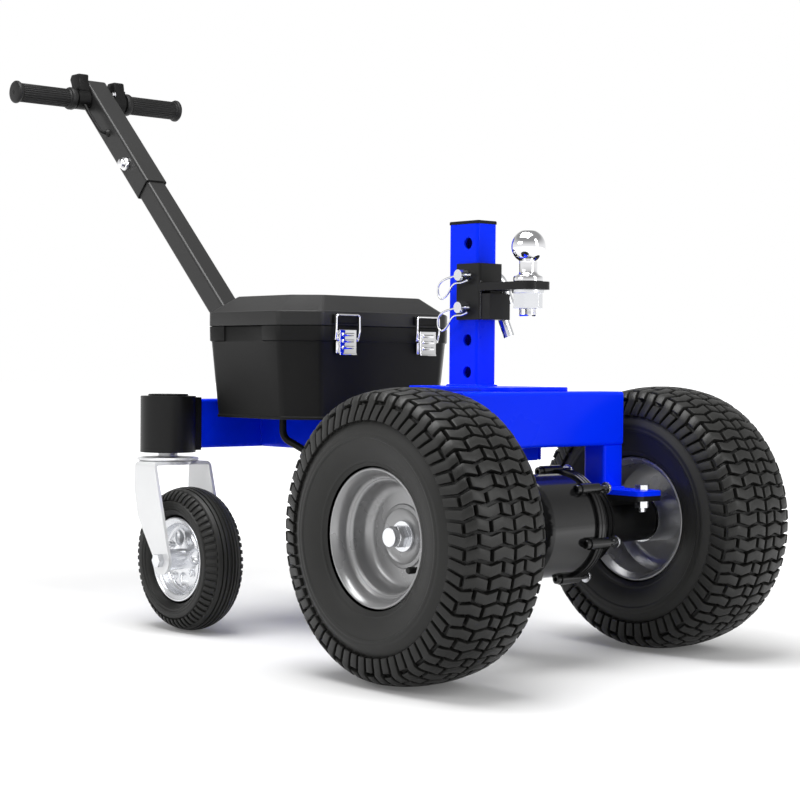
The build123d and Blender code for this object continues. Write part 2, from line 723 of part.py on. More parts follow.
# bands of the tread: inner edge, outer edge, phase of the lugs, floor below the crown
lug_bands = [(-lug_band, lug_band, 0.0, lug_depth), (lug_band, 3 * lug_band, 0.5, lug_depth + 1),
             (3 * lug_band, tyre_half + cut, 0.0, lug_depth + 7)]
rings = []
for y0, y1, phase, drop in lug_bands:
    rings += [lug_ring(a, b, phase, tyre_od / 2 - drop) for a, b in {(y0, y1), (-y1, -y0)}]
envelope = rings[0]
for ring in rings[1:]:
    envelope += ring
tyre = revolve(tyre_section, Axis.Y, 360) & envelope

barrel_r = bead_r - rim_wall
dish_y = rim_half - rim_dish
disc_y = dish_y - rim_wall
rim_pts = [(flange_r, rim_half), (flange_r, rim_half - rim_lip), (bead_r, rim_half - bead_drop)]
rim_pts += [(bead_r, bead_drop - rim_half), (flange_r, rim_lip - rim_half), (flange_r, -rim_half)]
rim_pts += [(flange_r - rim_lip, -rim_half), (barrel_r, rim_lip - rim_half), (barrel_r, disc_y - 12)]
rim_pts += [(barrel_r - 14, disc_y), (half_shaft_r, disc_y), (half_shaft_r, dish_y), (barrel_r - 16, dish_y)]
rim_pts += [(barrel_r - 6, dish_y + 8), (barrel_r, rim_half - 2 * rim_lip), (flange_r - rim_lip, rim_half)]
rim = turned(rim_pts)

hub_in = axle_tube_end + 3 - wheel_y
hub = rod_y(hub_r, hub_in, disc_y, 0, 0)
hub += rod_y(half_shaft_r, hub_in - half_shaft_in, dish_y + half_shaft_out, 0, 0)
hub += rod_y(hub_washer_r, dish_y, dish_y + 4, 0, 0)
hub += hexagon_y(hub_nut_across, dish_y + 4, dish_y + 17, 0, 0)

for side, name in ((-1, "right"), (1, "left")):
    turn = Pos(axle_x, side * wheel_y, axle_z) * (Rot(0, 0, 0) if side > 0 else Rot(180, 0, 0))
    save(f"wheel_{name}_tyre", turn * tyre)
    save(f"wheel_{name}_rim", turn * rim)
    save(f"wheel_{name}_hub", turn * hub)

# casters: tyre, rim, then the pressed fork with its kingpin
caster_r = caster_od / 2
caster_half = caster_w / 2
c_flange = caster_rim_d / 2
c_bead = c_flange - caster_bead_drop
c_rim = caster_rim_w / 2
c_section = tyre_profile(caster_r, caster_half, caster_tread / 2, c_bead, c_rim - bead_in, c_flange)
c_tyre = revolve(c_section, Axis.Y, 360)
c_barrel = c_bead - caster_rim_wall
c_bore = caster_bolt_r + bearing_gap
c_hub = fork_gap + caster_half - caster_hub_gap
c_disc = caster_disc_t / 2
c_side = [(c_barrel - 14, c_disc), (c_barrel, 2 * caster_disc_t), (c_barrel, c_rim - 5), (c_flange - 3, c_rim)]
c_side += [(c_flange, c_rim), (c_flange, c_rim - 4), (c_bead, c_rim - 6)]
c_pts = [(c_bore, -c_hub), (c_bore, c_hub), (caster_hub_r, c_hub), (caster_hub_r, c_disc)] + c_side
c_pts += [(r, -y) for r, y in reversed(c_side)] + [(caster_hub_r, -c_disc), (caster_hub_r, -c_hub)]
caster_rim = turned(c_pts)

crown_top = caster_plate_z - caster_plate_t - race_gap
leg_in = caster_half + fork_gap
leg_out = leg_in + fork_t
leg_pts = [(fork_back, crown_top), (fork_ahead, crown_top), (caster_trail + fork_end_r, caster_r + 4)]
leg_pts += [(caster_trail, caster_r), (caster_trail - fork_end_r, caster_r + 6), (fork_back + 8, crown_top - 84)]
leg_pts += [(fork_back - 2, crown_top - 40)]
outline = extrude(Plane.XZ * make_face(Polyline(*leg_pts, close=True)), 2 * leg_out)
outline = Pos(0, leg_out, 0) * outline + rod_y(fork_end_r, -leg_out, leg_out, caster_trail, caster_r)
bent = block(-caster_od, caster_od, -leg_out, leg_out, 0, crown_top)
bent = fillet(bent.edges().filter_by(Axis.X).group_by(Axis.Z)[-1], fork_bend)
hollow = block(-caster_od, caster_od, -leg_in, leg_in, -cut, crown_top - fork_t)
hollow = fillet(hollow.edges().filter_by(Axis.X).group_by(Axis.Z)[-1], fork_bend - fork_t)
fork = (bent - hollow) & outline
fork += rod_z(fork_crown_r, crown_top - fork_t, crown_top, 0, 0)
fork += rod_z(kingpin_r, crown_top - fork_t, collar_z + kingpin_up, 0, 0)
fork -= rod_y(caster_bolt_r, -leg_out - cut, leg_out + cut, caster_trail, caster_r)
axle = rod_y(caster_bolt_r, -leg_out, leg_out, caster_trail, caster_r)
axle += hexagon_y(caster_bolt_across, -leg_out - caster_bolt_head, -leg_out, caster_trail, caster_r)
axle += hexagon_y(caster_bolt_across, leg_out, leg_out + caster_bolt_head, caster_trail, caster_r)

for side, name in ((-1, "right"), (1, "left")):
    at = Pos(rear_beam_x, side * caster_y, 0)
    wheel_at = Pos(rear_beam_x + caster_trail, side * caster_y, caster_r)
    save(f"caster_{name}_fork", at * fork)
    save(f"caster_{name}_axle", at * axle)
    save(f"caster_{name}_tyre", wheel_at * c_tyre)
    save(f"caster_{name}_rim", wheel_at * caster_rim)
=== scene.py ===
# %% [markdown]
# # The looks of an electric trailer dolly
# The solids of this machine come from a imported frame, already at their places in metres: +X points
# ahead to the drive axle, +Y to the left and +Z up. This lesson gives them their looks. Each step says
# what the piece is on the real machine, how it could be made, and why this way was chosen.

# %% Load the frame
import json
import math

import bpy
import numpy as np
from mathutils import Matrix, Vector


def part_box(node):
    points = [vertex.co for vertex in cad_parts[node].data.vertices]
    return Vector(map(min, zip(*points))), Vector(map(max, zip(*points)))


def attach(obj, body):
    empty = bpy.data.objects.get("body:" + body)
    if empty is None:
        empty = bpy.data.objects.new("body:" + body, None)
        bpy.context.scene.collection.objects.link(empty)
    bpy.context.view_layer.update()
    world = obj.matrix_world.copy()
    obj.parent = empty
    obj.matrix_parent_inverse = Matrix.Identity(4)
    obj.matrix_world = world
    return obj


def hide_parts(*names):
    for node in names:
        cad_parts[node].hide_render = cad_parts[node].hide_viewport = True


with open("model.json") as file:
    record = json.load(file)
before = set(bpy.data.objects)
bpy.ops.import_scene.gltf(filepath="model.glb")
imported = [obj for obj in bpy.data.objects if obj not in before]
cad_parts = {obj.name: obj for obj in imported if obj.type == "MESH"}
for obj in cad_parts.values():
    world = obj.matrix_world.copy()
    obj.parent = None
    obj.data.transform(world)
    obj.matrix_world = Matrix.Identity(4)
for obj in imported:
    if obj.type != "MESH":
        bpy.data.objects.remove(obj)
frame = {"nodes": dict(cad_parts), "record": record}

MM = 0.001
SIDES = {"right": -1, "left": 1}
scene = bpy.context.scene
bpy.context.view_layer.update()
nodes = frame["nodes"]
slot_of = {part["node"]: part["material_slot"] for part in frame["record"]["subparts"]}
print("solids loaded:", len(nodes))

# %% [markdown]
# ## Tools for modelling by hand
# Operators act on all that is selected, so every step first clears the selection. These small tools put
# an operator and its selection together. A step below then reads like the work of a hand: start a piece,
# pick faces, extrude them, round the edges, join.

# %% Selecting and editing
def select_only(*pieces):
    bpy.ops.object.select_all(action="DESELECT")
    for piece in pieces:
        piece.select_set(True)
    if pieces:
        bpy.context.view_layer.objects.active = pieces[0]


def edit(piece, pick="SELECT", mode="VERT"):
    select_only(piece)
    bpy.ops.object.mode_set(mode="EDIT")
    bpy.ops.mesh.select_mode(type=mode)
    bpy.ops.mesh.select_all(action=pick)


def leave_edit():
    bpy.ops.object.mode_set(mode="OBJECT")


def started(add, **settings):
    """A new primitive, alone in the selection."""
    select_only()
    add(**settings)
    return bpy.context.object


def pick_faces(piece, test):
    """Opens a piece in edit mode with only those faces selected that pass a test."""
    edit(piece, "DESELECT", "FACE")
    leave_edit()
    for face in piece.data.polygons:
        face.select = bool(test(face))
    bpy.ops.object.mode_set(mode="EDIT")


def extrude(x, y, z):
    bpy.ops.mesh.extrude_region_move(TRANSFORM_OT_translate={"value": (x, y, z)})


# %% Placing, rounding and joining
def apply_place(piece):
    select_only(piece)
    bpy.ops.object.transform_apply(location=True, rotation=True, scale=True)


def smooth(piece, degrees=35):
    select_only(piece)
    bpy.ops.object.shade_smooth_by_angle(angle=math.radians(degrees))


def add_modifier(piece, kind, **settings):
    select_only(piece)
    made = piece.modifiers.new(kind.lower(), kind)
    for key, value in settings.items():
        setattr(made, key, value)
    bpy.ops.object.modifier_apply(modifier=made.name)


def rounded(piece, width, segments, degrees):
    """Rounds the edges of a piece that are sharper than the given angle."""
    add_modifier(piece, "BEVEL", width=width, segments=segments, limit_method="ANGLE",
                 angle_limit=math.radians(degrees))


def join(name, pieces):
    select_only(*pieces)
    if len(pieces) > 1:
        bpy.ops.object.join()
    joined = bpy.context.object
    joined.name = name
    return joined


def clean(piece, gap=1e-5):
    edit(piece)
    bpy.ops.mesh.remove_doubles(threshold=gap)
    bpy.ops.mesh.normals_make_consistent(inside=False)
    leave_edit()


# %% [markdown]
# ## Tools for turned pieces
# Rims, bolts, grips and the tow ball are round about one axis, as if they came from a lathe. They could
# start from cylinders, but each step of the outline would need its own cut. It is easier to draw half of
# the section as a line, by extruding one point after another, and to spin that line about the axle.

# %% Lines and turned pieces
def mm(*points, at=(0, 0, 0)):
    """Points in millimetres from a place that is given in metres."""
    return [tuple(base + value * MM for base, value in zip(at, point)) for point in points]


def facing(outline, out):
    """The same outline, turned to one side of its axle."""
    return [(r, out * a) for r, a in outline]


def drawn_line(name, points):
    """A line of vertices drawn by extruding one point after another, left in edit mode."""
    line = started(bpy.ops.mesh.primitive_plane_add, size=MM)
    line.name = name
    edit(line)
    bpy.ops.mesh.merge(type="CENTER")
    bpy.ops.transform.translate(value=points[0])
    for here, there in zip(points, points[1:]):
        extrude(*(Vector(there) - Vector(here)))
    return line


def turned(name, outline, centre, steps, closed=False, way=(0, 1, 0)):
    """Spins an outline of (radius, along) points about an axle through centre along the given way."""
    points = [Vector(centre) + Vector((1, 0, 0)) * r + Vector(way) * a for r, a in outline]
    piece = drawn_line(name, points + points[:1] if closed else points)
    bpy.ops.mesh.select_all(action="SELECT")
    bpy.ops.mesh.spin(steps=steps, angle=2 * math.pi, center=centre, axis=way)
    leave_edit()
    clean(piece)
    smooth(piece)
    return piece


# %% [markdown]
# ## Tools that tie a piece to the machine
# A new piece has to move with the right part of the machine and stand for the solid it covers. Some solids
# already have their true form and only look too sharp, since no real edge is perfectly sharp. Such a solid
# is copied, its flat faces are made whole, and a bevel breaks its edges.

# %% Dressed pieces and softened solids
SHARP_EDGE = 32
FLAT_ENOUGH = 1.5


def dress(piece, body, coating, *stands_for):
    """Gives a piece its material, its CAD body and the solids it stands for."""
    piece.data.materials.clear()
    piece.data.materials.append(coating)
    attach(piece, body)
    if stands_for:
        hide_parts(*stands_for)
    return piece


def softened(node, body, coating, width, segments=2):
    """A copy of a solid whose flat faces are made whole and whose sharp edges are rounded."""
    select_only(nodes[node])
    bpy.ops.object.duplicate()
    piece = bpy.context.object
    piece.name = f"{node}_soft"
    clean(piece)
    edit(piece)
    bpy.ops.mesh.dissolve_limited(angle_limit=math.radians(FLAT_ENOUGH))
    leave_edit()
    rounded(piece, width, segments, SHARP_EDGE)
    smooth(piece, 40)
    add_modifier(piece, "WEIGHTED_NORMAL", weight=100, keep_sharp=True)
    dress(piece, body, coating, node)
    return piece


def middle(node):
    low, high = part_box(node)
    return (low + high) / 2


def size_of(node):
    low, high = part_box(node)
    return high - low


# %% [markdown]
# ## Finishes
# Paint, plated steel, moulded plastic and rubber differ mostly in how rough they are and in the small
# waves of their skin. Each could have its own noise nodes, but the effect is the same everywhere. So it is
# one shader group with its own inputs, and every material keeps its own shader.

# %% Shader group for the skin
def new_group(name, inputs, outputs):
    group = bpy.data.node_groups.new(name, "ShaderNodeTree")
    for label, kind, value in inputs:
        socket = group.interface.new_socket(label, in_out="INPUT", socket_type=kind)
        socket.default_value = value
    for label, kind in outputs:
        group.interface.new_socket(label, in_out="OUTPUT", socket_type=kind)
    return group, group.nodes.new("NodeGroupInput"), group.nodes.new("NodeGroupOutput")


def noise_at(group, scale, detail, place):
    node = group.nodes.new("ShaderNodeTexNoise")
    node.inputs["Detail"].default_value = detail
    group.links.new(scale, node.inputs["Scale"])
    group.links.new(place, node.inputs["Vector"])
    return node.outputs["Fac"]


def spread(group, value, low, high):
    """Maps 0..1 to the range between two sockets."""
    node = group.nodes.new("ShaderNodeMapRange")
    for label, source in (("Value", value), ("To Min", low), ("To Max", high)):
        group.links.new(source, node.inputs[label])
    return node.outputs["Result"]


def skin_group():
    """Skin waves at one scale, with roughness and tone that drift slowly over the piece."""
    group, start, end = new_group(
        "skin",
        [
            ("Colour", "NodeSocketColor", (0.5, 0.5, 0.5, 1)),
            ("Second colour", "NodeSocketColor", (0.4, 0.4, 0.4, 1)),
            ("Wave scale", "NodeSocketFloat", 600.0),
            ("Drift scale", "NodeSocketFloat", 9.0),
            ("Rough low", "NodeSocketFloat", 0.3),
            ("Rough high", "NodeSocketFloat", 0.4),
        ],
        [("Colour", "NodeSocketColor"), ("Roughness", "NodeSocketFloat"), ("Height", "NodeSocketFloat")],
    )
    given, link = start.outputs, group.links.new
    place = group.nodes.new("ShaderNodeTexCoord").outputs["Object"]
    wave = noise_at(group, given["Wave scale"], 3, place)
    drift = noise_at(group, given["Drift scale"], 4, place)
    mix = group.nodes.new("ShaderNodeMix")
    mix.data_type = "RGBA"
    link(drift, mix.inputs["Factor"])
    link(given["Colour"], mix.inputs["A"])
    link(given["Second colour"], mix.inputs["B"])
    link(mix.outputs["Result"], end.inputs["Colour"])
    link(spread(group, drift, given["Rough low"], given["Rough high"]), end.inputs["Roughness"])
    link(wave, end.inputs["Height"])
    return group


skin = skin_group()
print("sockets of the skin group:", len(skin.interface.items_tree))

# %% [markdown]
# ## One material from the group
# A finish is the skin group with its own values, a bump from the group's height and a shader. Values that
# are the same all over, such as the coat, are set on the shader itself, where an export can read them.

# %% Material from the skin group
COAT_ROUGHNESS = 0.12


def finish(name, colour, second, metallic, rough, wave_scale, wave_depth, coat=0.0, drift_scale=9.0,
           specular=0.5):
    made = bpy.data.materials.new(name)
    made.use_nodes = True
    tree = made.node_tree
    shader = tree.nodes["Principled BSDF"]
    use = tree.nodes.new("ShaderNodeGroup")
    use.node_tree = skin
    bump = tree.nodes.new("ShaderNodeBump")
    constants = (
        (use, "Colour", (*colour, 1)), (use, "Second colour", (*second, 1)),
        (use, "Wave scale", wave_scale), (use, "Drift scale", drift_scale),
        (use, "Rough low", rough[0]), (use, "Rough high", rough[1]),
        (bump, "Strength", 1.0), (bump, "Distance", wave_depth),
        (shader, "Metallic", metallic), (shader, "Coat Weight", coat),
        (shader, "Coat Roughness", COAT_ROUGHNESS), (shader, "Specular IOR Level", specular),
    )
    for node, label, value in constants:
        node.inputs[label].default_value = value
    tree.links.new(use.outputs["Height"], bump.inputs["Height"])
    tree.links.new(bump.outputs["Normal"], shader.inputs["Normal"])
    tree.links.new(use.outputs["Colour"], shader.inputs["Base Color"])
    tree.links.new(use.outputs["Roughness"], shader.inputs["Roughness"])
    return made


# %% [markdown]
# ## Paints
# The frame is sprayed a deep glossy blue, the castings a glossy black, and brackets and tubes a satin black.
# The handle tubes get a lighter black, which is painted sheen for the light that their glossy upper faces
# catch. One black could serve for all, but gloss is what tells a casting from a tube. The wheel rims are grey
# with metal flakes, so they are half metallic.

# %% Paints
blue_paint = finish("blue_paint", (0.0, 0.03, 0.98), (0.0, 0.022, 0.9), 0.0, (0.24, 0.32), 420, 0.00005,
                    coat=0.03, specular=0.08)
black_paint = finish("black_paint", (0.005, 0.005, 0.0053), (0.0075, 0.0075, 0.0077), 0.0, (0.1, 0.17),
                     500, 0.00003, coat=0.2, specular=0.35)
satin_paint = finish("satin_paint", (0.006, 0.006, 0.0061), (0.0085, 0.0085, 0.0086), 0.0, (0.34, 0.42),
                     700, 0.0001, specular=0.2)
# Painted sheen: the handle tubes get a lighter black that stands in for the light their glossy upper faces
# catch.
handle_paint_painted_sheen = finish("handle_paint_painted_sheen", (0.017, 0.017, 0.0168), (0.021, 0.021, 0.0208), 0.0, (0.3, 0.38),
                      700, 0.00008, specular=0.3)
rim_paint = finish("rim_paint", (0.29, 0.29, 0.293), (0.33, 0.33, 0.335), 0.5, (0.24, 0.32),
                   900, 0.00003)
print("paints made:", len(bpy.data.materials))

# %% [markdown]
# ## Plated steel
# Bolts are zinc plated, the caster rims are pressed from bright zinc sheet, the forks are duller, and the
# tow ball and the latches are chromed. All are metal, so they differ in roughness and in how far the tone
# drifts over the piece.

# %% Plated steel
zinc_plate = finish("zinc_plate", (0.74, 0.75, 0.77), (0.66, 0.67, 0.7), 1.0, (0.2, 0.3),
                    500, 0.000012, drift_scale=40)
pressed_zinc = finish("pressed_zinc", (0.84, 0.85, 0.87), (0.78, 0.79, 0.82), 0.9, (0.2, 0.27),
                      600, 0.000006, drift_scale=16)
fork_zinc = finish("fork_zinc", (0.78, 0.785, 0.79), (0.73, 0.735, 0.745), 0.4, (0.28, 0.36),
                   250, 0.00003, drift_scale=24)
chrome_plate = finish("chrome_plate", (0.82, 0.82, 0.83), (0.78, 0.78, 0.8), 1.0, (0.04, 0.07),
                      200, 0.000004)
print("paints and plated finishes made:", len(bpy.data.materials))

# %% [markdown]
# ## Plastic and rubber
# The battery box is moulded with a fine texture, so its waves are small and deep. Its lid gets a lighter black
# than the case, which is painted light from above on the lid. Tyre rubber is rougher and slightly brown, and
# the grips are finer.

# %% Plastic and rubber
case_plastic = finish("case_plastic", (0.005, 0.005, 0.005), (0.0072, 0.0072, 0.0071), 0.0, (0.38, 0.47),
                      1600, 0.00016, specular=0.13)
# Painted light: the lid's black is lighter than the case's to stand in for the light that falls on it from
# above.
lid_plastic_painted_light = finish("lid_plastic_painted_light", (0.014, 0.014, 0.014), (0.018, 0.018, 0.0178), 0.0, (0.36, 0.45),
                     1600, 0.00016, specular=0.26)
tyre_rubber = finish("tyre_rubber", (0.0095, 0.0095, 0.0087), (0.0145, 0.0145, 0.0134), 0.0, (0.38, 0.52),
                     900, 0.0002, specular=0.3)
grip_rubber = finish("grip_rubber", (0.007, 0.007, 0.007), (0.011, 0.011, 0.011), 0.0, (0.4, 0.52),
                     1400, 0.00012, specular=0.25)
battery_plastic = finish("battery_plastic", (0.03, 0.03, 0.032), (0.04, 0.04, 0.042), 0.0, (0.4, 0.5),
                         900, 0.0001, specular=0.3)
print("all finishes made:", len(bpy.data.materials))

# %% [markdown]
# ## A finish for every solid
# Every solid names the kind of surface it has. Each gets the matching finish now, so that solids which
# stay as they are, such as wires and leads, are finished too. Pieces made below bring their own.

# %% Finish of every solid
slot_finish = {
    "blue_paint": blue_paint, "black_paint": black_paint, "black_plastic": case_plastic,
    "grey_paint": rim_paint, "zinc": zinc_plate, "chrome": chrome_plate, "tyre_rubber": tyre_rubber,
    "grip_rubber": grip_rubber, "battery": battery_plastic,
}
for node, slot in slot_of.items():
    solid = nodes[node]
    solid.data.materials.clear()
    solid.data.materials.append(slot_finish[slot])
    smooth(solid, 30)
print("solids finished:", len(slot_of))

# %% [markdown]
# ## Camera
# The machine is seen from its right front, a little above axle height, with a long lens that keeps the
# far wheel nearly as large as the near one. The camera could be turned by angles. Three directions, to the
# right, up and ahead, say the same without a doubt about their order.

# %% Camera
LENS = 79.76
SENSOR = 36
eye = Vector((2.1898, -1.7567, 0.408))
ahead = Vector((-0.7496, 0.6616, -0.0193)).normalized()
right = Vector((0.6616, 0.7499, 0.0081)).normalized()
up = right.cross(ahead).normalized()
camera_data = bpy.data.cameras.new("view")
camera_data.lens = LENS
camera_data.sensor_width = SENSOR
camera = bpy.data.objects.new("view", camera_data)
scene.collection.objects.link(camera)
camera.matrix_world = Matrix.Translation(eye) @ Matrix((right, up, -ahead)).transposed().to_4x4()
scene.camera = camera
print("camera height in metres:", round(eye.z, 3))

# %% [markdown]
# ## Floor
# A product table is plain white, and yet it keeps the machine's shadow. A floor lit to white would throw
# too much light back on the machine. So the floor stays grey and glows only for rays from the camera and
# from metal, more the farther it lies from the machine. From below it is clear, so the underside shows.

# %% Nodes for floor and dome
def ranged(tree, value, before, after):
    """A node that maps one range of values to another."""
    node = tree.nodes.new("ShaderNodeMapRange")
    for label, number in zip(("From Min", "From Max", "To Min", "To Max"), before + after):
        node.inputs[label].default_value = number
    tree.links.new(value, node.inputs["Value"])
    return node


def combined(tree, operation, first, second):
    """The result of a Math node on two sockets."""
    node = tree.nodes.new("ShaderNodeMath")
    node.operation = operation
    tree.links.new(first, node.inputs[0])
    tree.links.new(second, node.inputs[1])
    return node.outputs["Value"]


def shows_backdrop(tree, path):
    """1 for rays from the camera and for rays that metal or glass sends on, else 0."""
    shown = path.outputs["Is Camera Ray"]
    for label in ("Is Glossy Ray", "Is Transmission Ray"):
        shown = combined(tree, "MAXIMUM", shown, path.outputs[label])
    return shown


# %% Floor
FLOOR_SIZE = 60
FLOOR_GREY = 0.62
FLOOR_GLOW = 0.1
FLOOR_FADE = (0.6, 1.9)


def floor_material():
    """Pale floor that keeps the shadow, fades to white far from the machine and is clear from below."""
    made = bpy.data.materials.new("floor")
    made.use_nodes = True
    tree = made.node_tree
    tree.nodes.clear()
    new, link = tree.nodes.new, tree.links.new
    lit = new("ShaderNodeBsdfDiffuse")
    lit.inputs["Color"].default_value = (FLOOR_GREY, FLOOR_GREY, FLOOR_GREY, 1)
    reach = new("ShaderNodeVectorMath")
    reach.operation = "LENGTH"
    link(new("ShaderNodeTexCoord").outputs["Object"], reach.inputs[0])
    fade = ranged(tree, reach.outputs["Value"], FLOOR_FADE, (FLOOR_GLOW, 1.0))
    fade.interpolation_type = "SMOOTHSTEP"
    seen = shows_backdrop(tree, new("ShaderNodeLightPath"))
    glow = new("ShaderNodeEmission")
    link(combined(tree, "MULTIPLY", fade.outputs["Result"], seen), glow.inputs["Strength"])
    both = new("ShaderNodeAddShader")
    link(lit.outputs["BSDF"], both.inputs[0])
    link(glow.outputs["Emission"], both.inputs[1])
    shown = new("ShaderNodeMixShader")
    link(new("ShaderNodeNewGeometry").outputs["Backfacing"], shown.inputs["Fac"])
    link(both.outputs["Shader"], shown.inputs[1])
    link(new("ShaderNodeBsdfTransparent").outputs["BSDF"], shown.inputs[2])
    link(shown.outputs["Shader"], new("ShaderNodeOutputMaterial").inputs["Surface"])
    return made


floor = started(bpy.ops.mesh.primitive_plane_add, size=FLOOR_SIZE)
floor.name = "floor"
floor.data.materials.append(floor_material())
print("floor fades to white from", FLOOR_FADE[0], "to", FLOOR_FADE[1], "m")

# %% [markdown]
# ## Dome
# The soft light of a studio comes from all sides and more from above. A plain white world would light the
# underside too. So the dome grows brighter with height, while the camera sees plain white, and polished
# metal sees white walls under a darker ceiling, which draws its form.

# %% Dome
DOME_RISE = (-0.05, 0.75)
DOME_LIGHT = (0.16, 0.6)
CEILING_RISE = (0.12, 0.6)
CEILING = 0.35
world = bpy.data.worlds.new("dome")
scene.world = world
world.use_nodes = True
dome = world.node_tree
shade = dome.nodes["Background"]
shade.inputs["Color"].default_value = (1, 1, 1, 1)
path = dome.nodes.new("ShaderNodeLightPath")
height = dome.nodes.new("ShaderNodeSeparateXYZ")
dome.links.new(dome.nodes.new("ShaderNodeTexCoord").outputs["Generated"], height.inputs["Vector"])
level = ranged(dome, height.outputs["Z"], DOME_RISE, DOME_LIGHT)
walls = ranged(dome, height.outputs["Z"], CEILING_RISE, (1.0, CEILING))
plain = combined(dome, "MAXIMUM", walls.outputs["Result"], path.outputs["Is Camera Ray"])
choice = dome.nodes.new("ShaderNodeMix")
dome.links.new(level.outputs["Result"], choice.inputs["A"])
dome.links.new(plain, choice.inputs["B"])
dome.links.new(shows_backdrop(dome, path), choice.inputs["Factor"])
dome.links.new(choice.outputs["Result"], shade.inputs["Strength"])
print("dome light from", DOME_LIGHT[0], "to", DOME_LIGHT[1])

# %% [markdown]
# ## Lamps
# One wide lamp above gives the soft shadow under the machine. Two strips, ahead and at the right side, draw
# long highlights on tubes and tyres. Their power stays low, so that pale steel doesn't clip to white.

# %% Lamps
def lamp(name, place, aim, width, height, power):
    data = bpy.data.lights.new(name, "AREA")
    data.shape = "RECTANGLE"
    data.size = width
    data.size_y = height
    data.energy = power
    made = bpy.data.objects.new(name, data)
    scene.collection.objects.link(made)
    made.location = place
    made.rotation_euler = (Vector(aim) - Vector(place)).to_track_quat("-Z", "Y").to_euler()


lamp("above", (0.2, -0.4, 2.5), (0.15, 0, 0.3), 2.0, 1.5, 80)
lamp("front_strip", (2.4, 0.5, 1.3), (0.3, 0, 0.4), 0.5, 1.8, 22)
lamp("side_strip", (-0.3, -2.4, 1.5), (0, 0, 0.4), 1.6, 0.6, 13)
scene.view_settings.view_transform = "Standard"
print("lamps:", len(bpy.data.lights))

# %% [markdown]
# ## Section of a drive tyre
# A tyre's section is a flat crown that turns over a shoulder into a round wall and ends at the bead. It
# could be an ellipse, but then the shoulder would be lost. Three arcs, each through three measured points,
# give it. Reading that line by the distance along it lets a flat tread be wrapped on it later.

# %% Section of a tyre
SLOPE_STEP = 5e-4


def arc_through(start, via, end, count):
    """Points on the circle through three (radius, along) points."""
    a, b, c = (np.array(p, float) for p in (start, via, end))
    lhs = 2 * np.array([b - a, c - a])
    hub = np.linalg.solve(lhs, np.array([b @ b - a @ a, c @ c - a @ a]))
    turns = np.unwrap([math.atan2(*(p - hub)[::-1]) for p in (a, b, c)])
    reach = np.linalg.norm(a - hub)
    spin = np.linspace(turns[0], turns[2], count + 1)
    return [tuple(hub + reach * np.array((math.cos(t), math.sin(t)))) for t in spin]


class Section:
    """Half of a tyre's outer line, from the middle of the crown to the bead, read by distance along it."""

    def __init__(self, points):
        self.points = np.array(points, float)
        steps = np.linalg.norm(np.diff(self.points, axis=0), axis=1)
        self.along = np.concatenate([[0], np.cumsum(steps)])

    def read(self, distance):
        return np.stack([np.interp(distance, self.along, self.points[:, k]) for k in (0, 1)], -1)

    def at(self, distance, sink):
        """Place of points at these distances from the crown, sunk below the surface."""
        d = np.abs(distance)
        slope = self.read(d + SLOPE_STEP) - self.read(np.maximum(d - SLOPE_STEP, 0))
        slope /= np.linalg.norm(slope, axis=1, keepdims=True)
        out = np.stack([slope[:, 1], -slope[:, 0]], -1)
        place = self.read(d) - out * np.asarray(sink)[..., None]
        place[:, 1] *= np.where(distance < 0, -1, 1)
        return place

    def finer(self, count):
        """The same line with evenly spaced points."""
        dense = np.linspace(0, self.along[-1], count)
        return Section([tuple(p) for p in self.at(dense, np.zeros(len(dense)))])


drive_radius = size_of("wheel_right_tyre").z / 2
drive_half = size_of("wheel_right_tyre").y / 2
shoulder = (drive_radius - 4.6 * MM, 49 * MM)
edge = (drive_radius - 10 * MM, drive_half - 13.2 * MM)
wall = (drive_radius - 24 * MM, drive_half - 6 * MM)
belly = (139 * MM, drive_half)
bead = (91.5 * MM, 62.4 * MM)
drive_line = arc_through((drive_radius, 0), (drive_radius - 1 * MM, 26 * MM), shoulder, 10)
drive_line += arc_through(shoulder, edge, wall, 6)[1:] + arc_through(wall, belly, bead, 16)[1:]
drive_section = Section(drive_line).finer(120)
print("drive tyre, crown to bead in mm:", round(drive_section.along[-1] / MM, 1))

# %% [markdown]
# ## Tread blocks
# A turf tyre has a smooth carcass and rows of low chevron blocks that fit into each other like bricks.
# Cutting grooves into a finished torus would need hundreds of cuts. It is easier to lay one pitch of the
# tread out flat, raise its blocks, repeat it round the wheel and then wrap the flat strip on the carcass.

# %% Tread blocks laid flat and wrapped
BLOCK_ROUND = 1.3 * MM
ROOT_SINK = 0.6 * MM
AT_ROOT = 1e-6


def repeated(piece, count, step):
    add_modifier(piece, "ARRAY", count=count, use_relative_offset=False, use_constant_offset=True,
                 constant_offset_displace=step)


def vertex_places(piece):
    places = np.zeros(len(piece.data.vertices) * 3)
    piece.data.vertices.foreach_get("co", places)
    return places.reshape(-1, 3)


